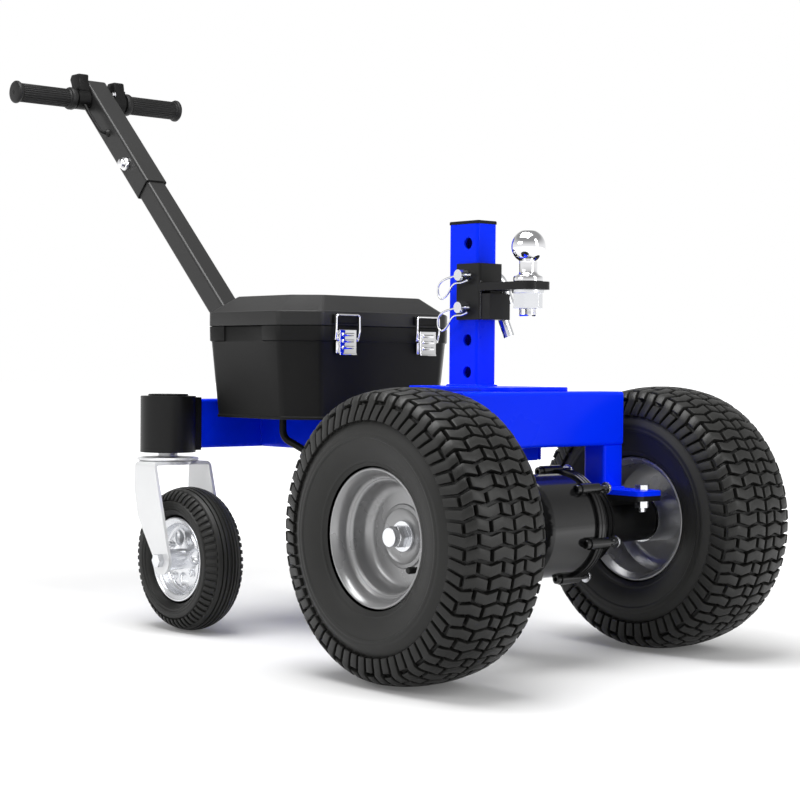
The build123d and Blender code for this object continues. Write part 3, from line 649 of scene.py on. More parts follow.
def flat_blocks(name, across, rows, row_size, groove, zigzag, full):
    """One pitch of the tread as raised blocks on a flat strip."""
    columns, row_lines = len(across) - 1, 2 * len(rows) - 1
    strip = started(bpy.ops.mesh.primitive_grid_add, x_subdivisions=columns, y_subdivisions=row_lines, size=1)
    strip.name = name
    lines = [k * row_size + side for k in range(len(rows)) for side in (groove, row_size - groove)]
    grid = vertex_places(strip)
    column = np.round((grid[:, 0] + 0.5) * columns).astype(int)
    line = np.round((grid[:, 1] + 0.5) * row_lines).astype(int)
    grid[:, 0] = np.array(across)[column]
    grid[:, 1] = np.array(lines)[line] + zigzag(grid[:, 0])
    strip.data.vertices.foreach_set("co", grid.ravel())

    def is_groove(face):
        spots = [column[v] for v in face.vertices]
        low_line = min(line[v] for v in face.vertices)
        mid = (across[min(spots)] + across[max(spots)]) / 2
        return low_line % 2 == 1 or any(a < mid < b for a, b in rows[low_line // 2])

    pick_faces(strip, is_groove)
    bpy.ops.mesh.delete(type="FACE")
    bpy.ops.mesh.select_all(action="SELECT")
    extrude(0, 0, full)
    bpy.ops.mesh.region_to_loop()
    bpy.ops.mesh.bevel(offset=min(BLOCK_ROUND, full / 4), segments=2)
    leave_edit()
    clean(strip)
    return strip


def tread(name, centre, section, pitches, across, rows, groove, zigzag, depth):
    """Raised blocks round a tyre.

    across: distances from the crown where the flat strip has lines. rows: for each row of one pitch, the
    pairs of distances between which the rubber is cut away. groove: half the gap between two rows.
    zigzag: function of the distance that shifts a block along the tread. depth: function of the distance."""
    girth = 2 * math.pi * section.points[0, 0]
    pitch = girth / pitches
    full = max(depth(np.array(across)))
    strip = flat_blocks(name, across, rows, pitch / len(rows), groove, zigzag, full)
    add_modifier(strip, "MIRROR", use_axis=(True, False, False), use_mirror_merge=False)
    repeated(strip, pitches, (0, pitch, 0))
    flat = vertex_places(strip)
    sink = depth(np.abs(flat[:, 0])) * (1 - flat[:, 2] / full) + ROOT_SINK * (flat[:, 2] < AT_ROOT)
    place = section.at(flat[:, 0], sink)
    turn = flat[:, 1] / girth * 2 * math.pi
    wrapped = np.stack([place[:, 0] * np.cos(turn), place[:, 1], place[:, 0] * np.sin(turn)], -1)
    strip.data.vertices.foreach_set("co", (wrapped + np.array(centre)).ravel())
    strip.data.update()
    edit(strip)
    bpy.ops.mesh.normals_make_consistent(inside=False)
    leave_edit()
    smooth(strip, 30)
    return strip


def carcass(name, centre, section, depth, ribs, steps):
    """The tyre under its blocks from bead to bead, with low rings given as (distance, height, width)."""
    half = []
    for d in section.along:
        ring = sum(h for at, h, w in ribs if abs(d - at) < w / 2)
        half.append(tuple(section.at(np.array([d]), np.array([depth(d) - ring]))[0]))
    outline = facing(half[:0:-1], -1) + half
    return turned(name, outline, centre, steps)


# %% [markdown]
# ## Turf tread of the drive tyres
# Columns of chevrons lie on each half of the crown and run out into long lugs on the shoulder. Each row is
# cut at every second column and the next row at the others, as bricks are laid. Plain rings lie on the wall
# below the lugs.

# %% Turf tread of the drive tyres
cut_half = 2.7 * MM
column = 18.5 * MM
chevron = 5.5 * MM
lug_end = 97 * MM
lug_lean = 1.4
row_gap = 2.3 * MM
turf_pitches = 33


def drive_zigzag(d):
    """Height of the chevron line: up at odd columns, down at even ones, then rising on the shoulder."""
    wave = np.abs((d / column + 1) % 2 - 1)
    return chevron * np.where(d > 4 * column, np.minimum((d - 4 * column) / column, lug_lean), wave)


def drive_depth(d):
    return np.interp(d, [0, 62 * MM, lug_end, lug_end + 14 * MM], [8.5 * MM, 8.5 * MM, 5 * MM, 0])


drive_across = [2.4 * MM]
for k in range(1, 5):
    drive_across += [k * column - 8 * MM, k * column - cut_half, k * column, k * column + cut_half]
drive_across += [81 * MM, 86 * MM, 91 * MM, lug_end]
drive_rows = [[(k * column - cut_half, k * column + cut_half) for k in cut] for cut in ((1, 3), (2, 4))]
wall_rings = mm((118, 0.9, 3.2), (150, 0.7, 3.0), (168, 1.2, 4.5))
for side in SIDES:
    centre = middle(f"wheel_{side}_tyre")
    blocks = tread(f"tread_{side}", centre, drive_section, turf_pitches, drive_across, drive_rows, row_gap,
                   drive_zigzag, drive_depth)
    body = carcass(f"carcass_{side}", centre, drive_section, drive_depth, wall_rings, 132)
    tyre = join(f"drive_tyre_{side}", [body, blocks])
    dress(tyre, f"drive_wheel_{side}", tyre_rubber, f"wheel_{side}_tyre")
    print(tyre.name, "faces:", len(tyre.data.polygons))

# %% [markdown]
# ## Drive rims
# The rims are deep steel dishes, with a step in their wall and grey paint, with a rolled lip and a raised ring
# round the hub. They could be cut from a cylinder, but a spun outline gives lip, step and dish in one go.
# The valve stands in the dish, where a hand can reach it.

# %% Spun rims with valves
lip_r = size_of("wheel_right_rim").z / 2
rim_half = size_of("wheel_right_rim").y / 2
disc_face = 11 * MM
outer_lip = (lip_r, rim_half)
inner_lip = (lip_r, -rim_half)


def arc(r0, a0, radius, start, end, count):
    """Points of an arc about (r0, a0) from start to end degrees, as (radius, along)."""
    turns = [math.radians(start + (end - start) * k / count) for k in range(count + 1)]
    return [(r0 + radius * math.cos(t), a0 + radius * math.sin(t)) for t in turns]


rim_line = mm((-5.5, -8), (-1.2, -5), at=outer_lip)
rim_line += arc(lip_r - 2 * MM, rim_half - 2 * MM, 2 * MM, -30, 150, 8)
rim_line += mm((-5.5, -3.5), (-9, -8), (-10, -17), at=outer_lip)
rim_line += arc(lip_r - 15 * MM, rim_half - 18 * MM, 5 * MM, 0, -80, 5)
rim_line += arc(lip_r - 14 * MM, rim_half - 27 * MM, 4.5 * MM, 100, 180, 5)
rim_line += arc(lip_r - 32 * MM, disc_face + 13 * MM, 13 * MM, 4, -90, 8)
rim_line += mm((42, 0), (40.5, 2), (36, 2.6), (34, 1), (26, 0), (12.6, 0), at=(0, disc_face))
rim_line += mm((12.6, -4), (62, -4), (72, -9), at=(0, disc_face)) + mm((-10, -18), at=(lip_r, disc_face))
rim_line += mm((-10, 9), at=inner_lip)
rim_line += arc(lip_r - 2 * MM, 2 * MM - rim_half, 2 * MM, -150, 30, 8)
rim_line += mm((-5.5, 8), at=inner_lip)
valve_line = mm((0, 0), (5.2, 0), (5.2, 3), (4, 6), (3.6, 20), (4.4, 20.5), (4.4, 30), (3.4, 31.5), (0, 31.5))

for side, out in SIDES.items():
    centre = middle(f"wheel_{side}_rim")
    rim = turned(f"drive_rim_{side}", facing(rim_line, out), centre, 128, closed=True)
    dress(rim, f"drive_wheel_{side}", rim_paint, f"wheel_{side}_rim")
    spot = (centre.x + 43 * MM, centre.y + out * disc_face, centre.z - 38 * MM)
    valve = turned(f"valve_{side}", facing(valve_line, out), spot, 20)
    dress(valve, f"drive_wheel_{side}", grip_rubber)
    print(rim.name, "faces:", len(rim.data.polygons))

# %% [markdown]
# ## Battery case
# The box is moulded plastic with eight sides, a little draft, a lip at its foot and a stiff band round its
# mouth. It could be a bevelled cube, but the cut corners matter, so it grows from a face with eight corners
# by extruding and scaling. The band is cut away at both ends, where hands lift the box.

# %% Battery case
case_low, case_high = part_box("battery_case")
lid_low, lid_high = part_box("box_lid")
box_mid = middle("battery_case")
box_x = size_of("battery_case").x / 2
box_y = size_of("battery_case").y / 2
corner = 46 * MM
corner_round = 6 * MM


def eight_sided(name, half_x, half_y, cut, z):
    """A flat face with cut corners at height z, left in edit mode with the face selected."""
    face = started(bpy.ops.mesh.primitive_circle_add, vertices=8, radius=1, fill_type="NGON")
    face.name = name
    x_in, y_in = half_x - cut, half_y - cut
    corners = [(half_x, -y_in), (half_x, y_in), (x_in, half_y), (-x_in, half_y)]
    corners += [(-x, -y) for x, y in corners]
    for v in face.data.vertices:
        x, y = corners[round(math.atan2(v.co.y, v.co.x) / (math.pi / 4)) % 8]
        v.co = (box_mid.x + x, y, z)
    edit(face)
    bpy.ops.mesh.bevel(offset=corner_round, segments=5, affect="VERTICES")
    bpy.ops.mesh.select_all(action="SELECT")
    bpy.ops.mesh.select_mode(type="FACE")
    return face


def grow(rise, factor):
    """Extrudes the selected face upwards and scales it about the middle of the box."""
    extrude(0, 0, rise)
    bpy.ops.transform.resize(value=(factor, factor, 1), center_override=(box_mid.x, 0, 0))


def cut_away(piece, cutter):
    """Takes the shape of a cutter out of a piece and throws the cutter away."""
    add_modifier(piece, "BOOLEAN", operation="DIFFERENCE", object=cutter, solver="EXACT")
    bpy.data.objects.remove(cutter)


draft = 10 * MM
band_out = 3 * MM
band_h = 23 * MM
band_slope = 1.2 * MM
band_draft = 0.5 * MM
case_wall = 4 * MM
foot_h = 4 * MM
foot_out = 1.5 * MM
ledge = 0.8 * MM
upper_y = box_y - band_out
lower_y = upper_y - draft
foot = lower_y / box_y * (lower_y + foot_out) / lower_y
case = eight_sided("battery_case_moulded", box_x * foot, box_y * foot, corner * foot, case_low.z)
grow(foot_h, 1)
grow(ledge, lower_y / (lower_y + foot_out))
grow(case_high.z - case_low.z - band_h - foot_h - ledge, upper_y / lower_y)
grow(band_slope, (box_y - band_draft) / upper_y)
grow(band_h - band_slope, box_y / (box_y - band_draft))
grow(0, (upper_y - case_wall) / box_y)
grow(case_low.z + 2 * case_wall - case_high.z, (lower_y - case_wall) / (upper_y - case_wall))
leave_edit()
clean(case)
for out in (-1, 1):
    notch_at = (box_mid.x, out * (box_y + 4 * MM), case_high.z - band_h / 2)
    notch = started(bpy.ops.mesh.primitive_cube_add, size=1, location=notch_at,
                    scale=(95 * MM, 14 * MM, band_h + 2 * MM))
    cut_away(case, notch)
rounded(case, 1.4 * MM, 2, 40)
smooth(case, 40)
dress(case, "chassis", case_plastic, "battery_case")
print(case.name, "faces:", len(case.data.polygons))

# %% [markdown]
# ## Lid of the battery box
# The lid has an upright skirt and slopes up to a flat top. It grows as the case does. Its inside is then
# pressed in from below by an inset and two extrusions, so that an open lid shows a hollow shell.

# %% Lid of the battery box
lid_slope = 40 * MM
skirt_h = 21 * MM
skirt_in = 3 * MM
lid_top = lid_high.z - lid_low.z - skirt_h
lid = eight_sided("box_lid_moulded", box_x, box_y, corner, lid_low.z)
grow(skirt_h, 1)
grow(ledge, 1 - skirt_in / box_y)
grow(lid_top - ledge, (box_y - lid_slope) / (box_y - skirt_in))
leave_edit()
pick_faces(lid, lambda face: face.center.z < lid_low.z + 1e-4)
bpy.ops.mesh.inset(thickness=case_wall)
extrude(0, 0, skirt_h - case_wall)
grow(lid_top, (box_y - lid_slope) / box_y)
leave_edit()
clean(lid)
rounded(lid, 3.2 * MM, 3, 18)
smooth(lid, 40)
# The lid's finish carries painted light from above in its lighter black.
dress(lid, "lid", lid_plastic_painted_light, "box_lid")
print(lid.name, "faces:", len(lid.data.polygons))

# %% [markdown]
# ## Caster tyres
# Each caster runs on a small air tyre with grooves round its crown and a ring of short bars on each
# shoulder. The grooves could be cut, but they only lower the spun section, so they are part of it. The bars
# are wrapped round the tyre as the turf blocks are.

# %% Caster tyres
caster_r = size_of("caster_right_tyre").z / 2
caster_half = size_of("caster_right_tyre").y / 2
caster_shoulder = (caster_r - 4 * MM, 19 * MM)
caster_wall = (caster_r - 17 * MM, caster_half - 1.6 * MM)
caster_line = arc_through((caster_r, 0), (caster_r - 1 * MM, 9.5 * MM), caster_shoulder, 10)
caster_line += arc_through(caster_shoulder, (caster_r - 9 * MM, 27.5 * MM), caster_wall, 8)[1:]
caster_line += arc_through(caster_wall, (caster_r - 26 * MM, caster_half), (66.5 * MM, 21 * MM), 14)[1:]
caster_section = Section(caster_line).finer(84)
bar_in = 23 * MM
bar_out = 41 * MM
bar_depth = 2.6 * MM
bar_end = 3 * MM
bar_gap = 2.6 * MM
bar_count = 58


def caster_depth(d):
    return np.interp(d, [bar_in - bar_end, bar_in, bar_out, bar_out + bar_end], [0, bar_depth, bar_depth, 0])


def straight(d):
    return 0 * d


crown_grooves = mm((0.8, -2.4, 2.4), (7, -2.4, 2.4), (13.5, -2.4, 2.4))
caster_rings = mm((52, 0.7, 2.4), (57, 0.7, 2.4))
bar_lines = [bar_in, 28 * MM, 33 * MM, 37 * MM, bar_out]
for side in SIDES:
    centre = middle(f"caster_{side}_tyre")
    bars = tread(f"caster_bars_{side}", centre, caster_section, bar_count, bar_lines, [[]], bar_gap, straight,
                 caster_depth)
    body = carcass(f"caster_carcass_{side}", centre, caster_section, caster_depth,
                   crown_grooves + caster_rings, 112)
    tyre = join(f"caster_tyre_{side}_moulded", [body, bars])
    dress(tyre, f"caster_wheel_{side}", tyre_rubber, f"caster_{side}_tyre")
    print(tyre.name, "faces:", len(tyre.data.polygons))

# %% [markdown]
# ## Nuts and bolts
# A bolt head is a hexagon with a chamfered top on a washer. The same form holds the caster rims, the gear
# housing and a pod at the handle. So it is modelled once, with measures that follow the size of the key.

# %% Hexagon bolt
def ring_spots(centre, radius, count, start=0.0):
    """Places on a circle about an axle parallel to Y, with the turn of each."""
    turns = [start + 2 * math.pi * k / count for k in range(count)]
    return [((centre.x + radius * math.cos(t), centre.y, centre.z + radius * math.sin(t)), t) for t in turns]


def hex_bolt(name, spot, out, across, height, shank=0.0):
    """A hexagon head with a chamfered top on a washer, its axis parallel to Y."""
    chamfer, top_rise, end_in = across * 0.07, height * 0.16, across * 0.24
    washer_r, washer_h = across * 0.78, height * 0.24
    edge_round, lift = across * 0.025, height * 0.6
    head = started(bpy.ops.mesh.primitive_cylinder_add, vertices=6, radius=across / math.sqrt(3), depth=height)
    pick_faces(head, lambda face: face.normal.z > 0.9)
    bpy.ops.mesh.inset(thickness=chamfer)
    bpy.ops.transform.translate(value=(0, 0, top_rise))
    bpy.ops.mesh.inset(thickness=end_in)
    extrude(0, 0, shank)
    leave_edit()
    washer = started(bpy.ops.mesh.primitive_cylinder_add, vertices=32, radius=washer_r, depth=washer_h,
                     location=(0, 0, -height / 2))
    bolt = join(name, [head, washer])
    rounded(bolt, edge_round, 2, 25)
    bolt.rotation_euler = (-out * math.pi / 2, 0, 0)
    bolt.location = (spot[0], spot[1] + out * lift, spot[2])
    apply_place(bolt)
    smooth(bolt, 30)
    return bolt


# %% [markdown]
# ## Caster rims
# The rim is bright zinc sheet with four rounded pockets, a nut between each two of them and a rolled lip.
# The pockets could be drawn point by point. A squashed ball, taken away by a Boolean, presses them in as a
# punch does, and a small bevel softens their rims.

# %% Caster rims with pressed pockets
rim_edge = size_of("caster_right_rim").z / 2
hub_half = size_of("caster_right_rim").y / 2
rim_wide = 25 * MM
hub_r = 16 * MM
bore_r = 6.8 * MM
lobes = 4
bolt_turn = math.radians(-35)
pocket_ring = 35 * MM
pocket_deep = 14 * MM
punch_size = (14.5 * MM, 10.5 * MM, 12.5 * MM)
nut_ring = 34 * MM
nut_seat = 14.2 * MM
half_line = mm((16, 15), (22, 14.4), (38, 14), (43, 12.6), (47, 8), (50, 6.4), (52.4, 8.5), (53.4, 14))
half_line += mm((54.4, -4.5), (56.4, -2.6), (60, -2), at=(0, rim_wide))
half_line += arc(rim_edge - 2 * MM, rim_wide - 2 * MM, 2 * MM, 130, -30, 7)
half_line += mm((-5, -6), at=(rim_edge, rim_wide))
caster_rim_line = [(bore_r, -hub_half), (bore_r, hub_half), (hub_r - 1 * MM, hub_half)]
caster_rim_line += [(hub_r, hub_half - 1 * MM)] + half_line + facing(half_line[::-1], -1)
caster_rim_line += [(hub_r, 1 * MM - hub_half), (hub_r - 1 * MM, -hub_half)]

for side in SIDES:
    centre = middle(f"caster_{side}_rim")
    rim = turned(f"caster_rim_{side}_pressed", caster_rim_line, centre, 100, closed=True)
    for out in (-1, 1):
        for spot, t in ring_spots(centre, pocket_ring, lobes, bolt_turn + math.pi / lobes):
            punch = started(bpy.ops.mesh.primitive_uv_sphere_add, segments=28, ring_count=14, radius=1)
            punch.scale = punch_size
            punch.location = (spot[0], spot[1] + out * pocket_deep, spot[2])
            punch.rotation_euler = (0, -t, 0)
            cut_away(rim, punch)
    rounded(rim, 0.8 * MM, 2, 35)
    smooth(rim, 40)
    nuts = []
    for out in (-1, 1):
        for spot, t in ring_spots(centre, nut_ring, lobes, bolt_turn):
            seat = (spot[0], spot[1] + out * nut_seat, spot[2])
            nuts.append(hex_bolt("rim_nut", seat, out, 9 * MM, 4 * MM, 2 * MM))
    wheel = join(f"caster_rim_{side}_pressed", [rim] + nuts)
    dress(wheel, f"caster_wheel_{side}", pressed_zinc, f"caster_{side}_rim")
    print(wheel.name, "faces:", len(wheel.data.polygons))

# %% [markdown]
# ## Forks, races and collars
# The fork is bent from one zinc sheet and turns under a flat race with a rolled rim, below a black collar.
# The solids of fork and collar have the right form and only need broken edges. The race's rolled rim is
# rounder than a bevel can make it, so it is spun about the upright kingpin.

# %% Forks, races and collars
for side in SIDES:
    softened(f"caster_{side}_fork", f"caster_{side}", fork_zinc, 0.9 * MM)
    softened(f"caster_{side}_axle", f"caster_{side}", zinc_plate, 0.7 * MM)
plate_low, plate_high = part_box("caster_plates")
race_r = size_of("caster_plates").x / 2
race_x = middle("caster_plates").x
race_y = plate_high.y - race_r
race_line = mm((10.6, 0)) + mm((-8, 0), at=(race_r, 0))
race_line += arc(race_r - 2.2 * MM, 2.2 * MM, 2.2 * MM, -90, 110, 8)
race_line += mm((-6, 3.4), (-8, 5), at=(race_r, 0)) + mm((24, 5), (15, 6))
race_line += mm((15, 0), (10.6, 0), at=(0, plate_high.z - plate_low.z))
races = []
for out in (-1, 1):
    seat = (race_x, out * race_y, plate_low.z)
    races.append(turned("race", race_line, seat, 80, closed=True, way=(0, 0, 1)))
race = join("caster_plates_rolled", races)
dress(race, "chassis", fork_zinc, "caster_plates")
softened("caster_collars", "chassis", satin_paint, 1.4 * MM)
print(race.name, "faces:", len(race.data.polygons))

# %% [markdown]
# ## Frame, tubes and bolts
# The frame is welded from square tube and sawn plate, and its edges are broken by a file. The solids have
# the right forms, so modelling them anew would gain nothing. Copies with a small round show the light along
# each edge, wider on the tubes than on the bolts.

# %% Tubes and plates with broken edges
for node in ("front_beam", "rear_beam", "spine", "drop_legs", "post_plate", "hitch_post"):
    softened(node, "chassis", blue_paint, 1.2 * MM)
for node in ("ball_bracket", "handle_socket", "axle_tubes"):
    softened(node, "chassis", satin_paint, 1.0 * MM)
# The handle tubes take the lighter black, which is painted sheen.
softened("handle_lower", "chassis", handle_paint_painted_sheen, 1.0 * MM)
for node in ("hitch_pins", "axle_bolts", "socket_bolts", "ball_nut"):
    softened(node, "chassis", zinc_plate, 0.8 * MM)
softened("post_cap", "chassis", case_plastic, 0.8 * MM)
softened("handle_upper", "handle", handle_paint_painted_sheen, 0.8 * MM)
for side in SIDES:
    softened(f"wheel_{side}_hub", f"drive_wheel_{side}", zinc_plate, 0.8 * MM)

# %% [markdown]
# ## Welds
# A weld is a row of overlapping drops, one for each touch of the torch. A smooth bead would be quicker, but
# one drop, repeated along a line by an array, shows the work better. Beads run where tubes and plates meet.

# %% Weld beads
def weld(name, coating, lines, radius, step):
    """Rows of drops along straight lines."""
    rows = []
    for start, end in lines:
        way = Vector(end) - Vector(start)
        count = max(2, round(way.length / step))
        drop = started(bpy.ops.mesh.primitive_ico_sphere_add, subdivisions=2, radius=radius, location=start)
        apply_place(drop)
        repeated(drop, count, way / count)
        rows.append(drop)
    row_of_drops = join(name, rows)
    smooth(row_of_drops, 60)
    dress(row_of_drops, "chassis", coating)
    return row_of_drops


def round_box(low, high, z):
    """The four lines round an upright box at height z."""
    corners = [(low.x, low.y, z), (high.x, low.y, z), (high.x, high.y, z), (low.x, high.y, z)]
    return list(zip(corners, corners[1:] + corners[:1]))


def upright(x, y, low_z, high_z):
    return (x, y, low_z), (x, y, high_z)


post_low, post_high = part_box("hitch_post")
beam_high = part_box("front_beam")[1]
rear_low, rear_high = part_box("rear_beam")
spine_low, spine_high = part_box("spine")
base_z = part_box("post_plate")[1].z
leg_w = 40 * MM
flange_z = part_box("drop_legs")[0].z + 7 * MM
spine_end = 3 * MM
rear_end = 5 * MM
blue_lines = round_box(post_low, post_high, base_z)
for out in (-1, 1):
    near, far = sorted((out * beam_high.y, out * (beam_high.y - leg_w)))
    low, high = Vector((beam_high.x - leg_w, near, 0)), Vector((beam_high.x, far, 0))
    blue_lines += round_box(low, high, flange_z)
    for x in (spine_low.x, spine_high.x):
        blue_lines.append(upright(x, out * spine_high.y, spine_low.z + spine_end, spine_high.z - spine_end))
blue_bead = weld("frame_welds", blue_paint, blue_lines, 2.6 * MM, 3.4 * MM)

bracket_low, bracket_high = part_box("ball_bracket")
root_x = post_high.x + 8 * MM
root_y = 20 * MM
black_lines = []
for out in (-1, 1):
    black_lines.append(upright(root_x, out * root_y, bracket_low.z + 2 * MM, bracket_high.z - 24 * MM))
    rear_y = out * rear_high.y
    for x in (rear_low.x, rear_high.x):
        black_lines.append(upright(x, rear_y, rear_low.z + rear_end, rear_high.z - rear_end))
    top_start = (rear_low.x + rear_end, rear_y, rear_high.z)
    top_end = (rear_high.x - rear_end, rear_y, rear_high.z)
    black_lines.append((top_start, top_end))
black_bead = weld("bracket_welds", black_paint, black_lines, 2.2 * MM, 3 * MM)
print("weld lines:", len(blue_lines), "blue and", len(black_lines), "black")

# %% [markdown]
# ## Gear housing
# The gearbox is a glossy casting in two halves, with thin ridges along the seam and on its neck. The casting
# has the right form as a solid and is only softened. The ridges are too fine for it, so each is spun from a
# small outline.

# %% Casting and ridges
softened("gear_housing", "chassis", black_paint, 1.6 * MM, segments=3)
softened("drive_motor", "chassis", satin_paint, 2.5 * MM, segments=3)
axle = middle("wheel_right_hub")
axle.y = 0
seam_y = 30 * MM
seam_w = 12 * MM
seam_r = 75 * MM
neck_y = 84 * MM
neck_r = 56 * MM
seam_bead = ((-2, 0), (0.6, 0.3), (1.2, 1), (0.6, 1.8), (-2, 2.2))
neck_bead = ((-2, 0), (1.6, 0.6), (1.6, 3), (-2, 3.6))
seam_places = (seam_y - 1.2 * MM, seam_y + seam_w / 2 - 1 * MM, seam_y + seam_w - 1 * MM)
neck_places = (neck_y - 7 * MM, neck_y - 16 * MM)
ridges = [(seam_bead, seam_r, y) for y in seam_places] + [(neck_bead, neck_r, y) for y in neck_places]
rings = [turned("ridge", mm(*line, at=(r, y)), axle, 96, closed=True) for line, r, y in ridges]
seam = join("gear_seam_rings", rings)
dress(seam, "chassis", black_paint)
print("ridges on the gear housing:", len(rings))

# %% [markdown]
# ## Bolts of the gear housing
# Six rods with socket heads hold the two halves together and end in nuts, and four bolts close the face of
# the neck. Each kind is the same all round. So one is made and then copied round the axle, each copy with
# its own mesh.

# %% Bolts of the gear housing
lug_count = 6
face_count = 4
lug_turn = math.radians(-16)
face_ring = 42 * MM
head_back = seam_y - 18 * MM
rod_end = seam_y + seam_w + 22 * MM


def copies(piece, spots):
    """The piece at the first spot and its copies at the others, each with its own mesh."""
    made = [piece]
    for spot in spots[1:]:
        select_only(piece)
        bpy.ops.object.duplicate()
        bpy.ops.transform.translate(value=Vector(spot) - Vector(spots[0]))
        made.append(bpy.context.object)
        apply_place(made[-1])
    return made


head_line = mm((0, 3), (3, 3.4), (3.2, 7.2), (5.6, 7.2), (6.4, 6.4), (6.4, 0), (0, 0))
lug_spots = [Vector(spot) for spot, t in ring_spots(axle, seam_r, lug_count, lug_turn)]
head_spots = [tuple(spot + Vector((0, head_back, 0))) for spot in lug_spots]
head = turned("socket_head", facing(head_line, -1), head_spots[0], 28)
sockets = join("gear_socket_heads", copies(head, head_spots))
dress(sockets, "chassis", black_paint)
nut_spots = [tuple(spot + Vector((0, rod_end, 0))) for spot in lug_spots]
nuts = copies(hex_bolt("rod_nut", nut_spots[0], 1, 11 * MM, 6 * MM, 3 * MM), nut_spots)
face_spots = [(spot[0], neck_y, spot[2]) for spot, t in ring_spots(axle, face_ring, face_count, lug_turn)]
nuts += copies(hex_bolt("face_bolt", face_spots[0], 1, 9 * MM, 5 * MM), face_spots)
gear_nuts = join("gear_nuts", nuts)
dress(gear_nuts, "chassis", zinc_plate)
print("bolts on the gear housing:", len(head_spots) + len(nut_spots) + len(face_spots))

# %% [markdown]
# ## Latches
# Each draw latch has a black hook on the lid, a wire bail round it and a chrome lever on the case. The
# lever is stamped with three ribs that stiffen it. They could be pressed into the sheet, but three rods with
# round ends, sunk into its face, look the same. The bail is a drawn line with rounded corners, made a wire.

# %% Levers of the latches
softened("latch_hooks", "lid", case_plastic, 1.6 * MM, segments=3)
lever_low, lever_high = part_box("latch_levers")
hook_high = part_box("latch_hooks")[1]
latch_y = 80 * MM
lever_z = (lever_low.z + lever_high.z) / 2 + 2 * MM
rib_step = 9.5 * MM
pivot_out = 18.5 * MM
pivot_line = mm((0, -2), (2.8, -2), (3.2, 0), (2.8, 2), (0, 2))


def lever_parts(y):
    """Base plate, lever with a bent lip, three ribs and two pivots of the latch at y."""
    base = started(bpy.ops.mesh.primitive_cube_add, size=1, scale=(4 * MM, 38 * MM, 35 * MM),
                   location=(lever_low.x + 2 * MM, y, lever_z - 1 * MM))
    plate = started(bpy.ops.mesh.primitive_cube_add, size=1, scale=(4 * MM, 33 * MM, 34 * MM),
                    location=(lever_low.x + 6 * MM, y, lever_z))
    pick_faces(plate, lambda face: face.normal.z < -0.9)
    extrude(2 * MM, 0, -3.5 * MM)
    leave_edit()
    for piece in (base, plate):
        apply_place(piece)
        rounded(piece, 1.2 * MM, 3, 30)
    parts = [base, plate]
    for k in (-1, 0, 1):
        rib = started(bpy.ops.mesh.primitive_cylinder_add, vertices=20, radius=2.6 * MM, depth=24 * MM,
                      rotation=(math.pi / 2, 0, 0),
                      location=(lever_low.x + 7.6 * MM, y, lever_z + k * rib_step))
        apply_place(rib)
        rounded(rib, 2.2 * MM, 4, 60)
        parts.append(rib)
    for out in (-1, 1):
        spot = (lever_low.x + 5.5 * MM, y + out * pivot_out, lever_z + 2 * MM)
        parts.append(turned("pivot", pivot_line, spot, 18))
    return parts


levers = join("latch_levers_stamped", lever_parts(-latch_y) + lever_parts(latch_y))
smooth(levers, 35)
dress(levers, "chassis", chrome_plate, "latch_levers")
print(levers.name, "faces:", len(levers.data.polygons))

# %% Bails of the latches
def wire(name, points, radius, bend):
    """A round wire along a line whose corners are rounded."""
    line = drawn_line(name, points)
    bpy.ops.mesh.select_all(action="SELECT")
    bpy.ops.mesh.bevel(offset=bend, segments=5, affect="VERTICES")
    leave_edit()
    select_only(line)
    bpy.ops.object.convert(target="CURVE")
    line = bpy.context.object
    line.data.bevel_depth = radius
    line.data.bevel_resolution = 3
    line.data.use_fill_caps = True
    bpy.ops.object.convert(target="MESH")
    line = bpy.context.object
    clean(line, 1e-6)
    smooth(line, 50)
    return line


wire_x = hook_high.x + 1.8 * MM
bail_foot, bail_top = lever_z + 2 * MM, hook_high.z - 1 * MM
half_bail = [(lever_low.x + 5 * MM, 21.5 * MM, bail_foot), (wire_x, 22.5 * MM, bail_foot + 12 * MM)]
half_bail += [(wire_x, 22 * MM, bail_top)]
bails = []
for y in (-latch_y, latch_y):
    bail_line = [(x, y - w, z) for x, w, z in half_bail] + [(x, y + w, z) for x, w, z in half_bail[::-1]]
    bails.append(wire("bail", bail_line, 1.5 * MM, 4 * MM))
bail = join("latch_bails_bent", bails)
dress(bail, "lid", chrome_plate, "latch_bails")
print(bail.name, "faces:", len(bail.data.polygons))

# %% [markdown]
# ## Grips
# The grips are soft rubber with long ribs, a collar at the inner end and a round flange at the outer
# end. The core is spun. The ribs could be part of a toothed section, but then collar and flange would be
# toothed too, so they are one rod, copied round the core.

# %% Grips with long ribs
grip_mid = middle("grips")
bar_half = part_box("grips")[1].y
ribs_round = 26
rib_ring = 15.7 * MM
rib_mid = bar_half - 60 * MM
grip_line = mm((0, 0.8), (3, 0.8), (4, 0), (15.5, 0), (18.4, 1), (20, 3), (20.2, 6), (19, 8.4), (16.6, 9.6))
grip_line += mm((15.8, 12), (15.8, 108), (16.8, 110), (19.6, 111), (20.4, 113), (20.4, 119), (19.4, 121.6))
grip_line += mm((12.6, 122), (12.6, 4), (0, 4))
grip_pieces = []
for out in (-1, 1):
    end = (grip_mid.x, out * bar_half, grip_mid.z)
    grip_pieces.append(turned("grip_core", facing(grip_line, -out), end, 72))
    rib_centre = Vector((grip_mid.x, out * rib_mid, grip_mid.z))
    spots = [spot for spot, t in ring_spots(rib_centre, rib_ring, ribs_round)]
    rib = started(bpy.ops.mesh.primitive_cylinder_add, vertices=10, radius=1.25 * MM, depth=95 * MM,
                  location=spots[0], rotation=(math.pi / 2, 0, 0))
    apply_place(rib)
    rounded(rib, 0.5 * MM, 2, 60)
    grip_pieces += copies(rib, spots)
grips = join("grips_ribbed", grip_pieces)
smooth(grips, 40)
dress(grips, "handle", grip_rubber, "grips")
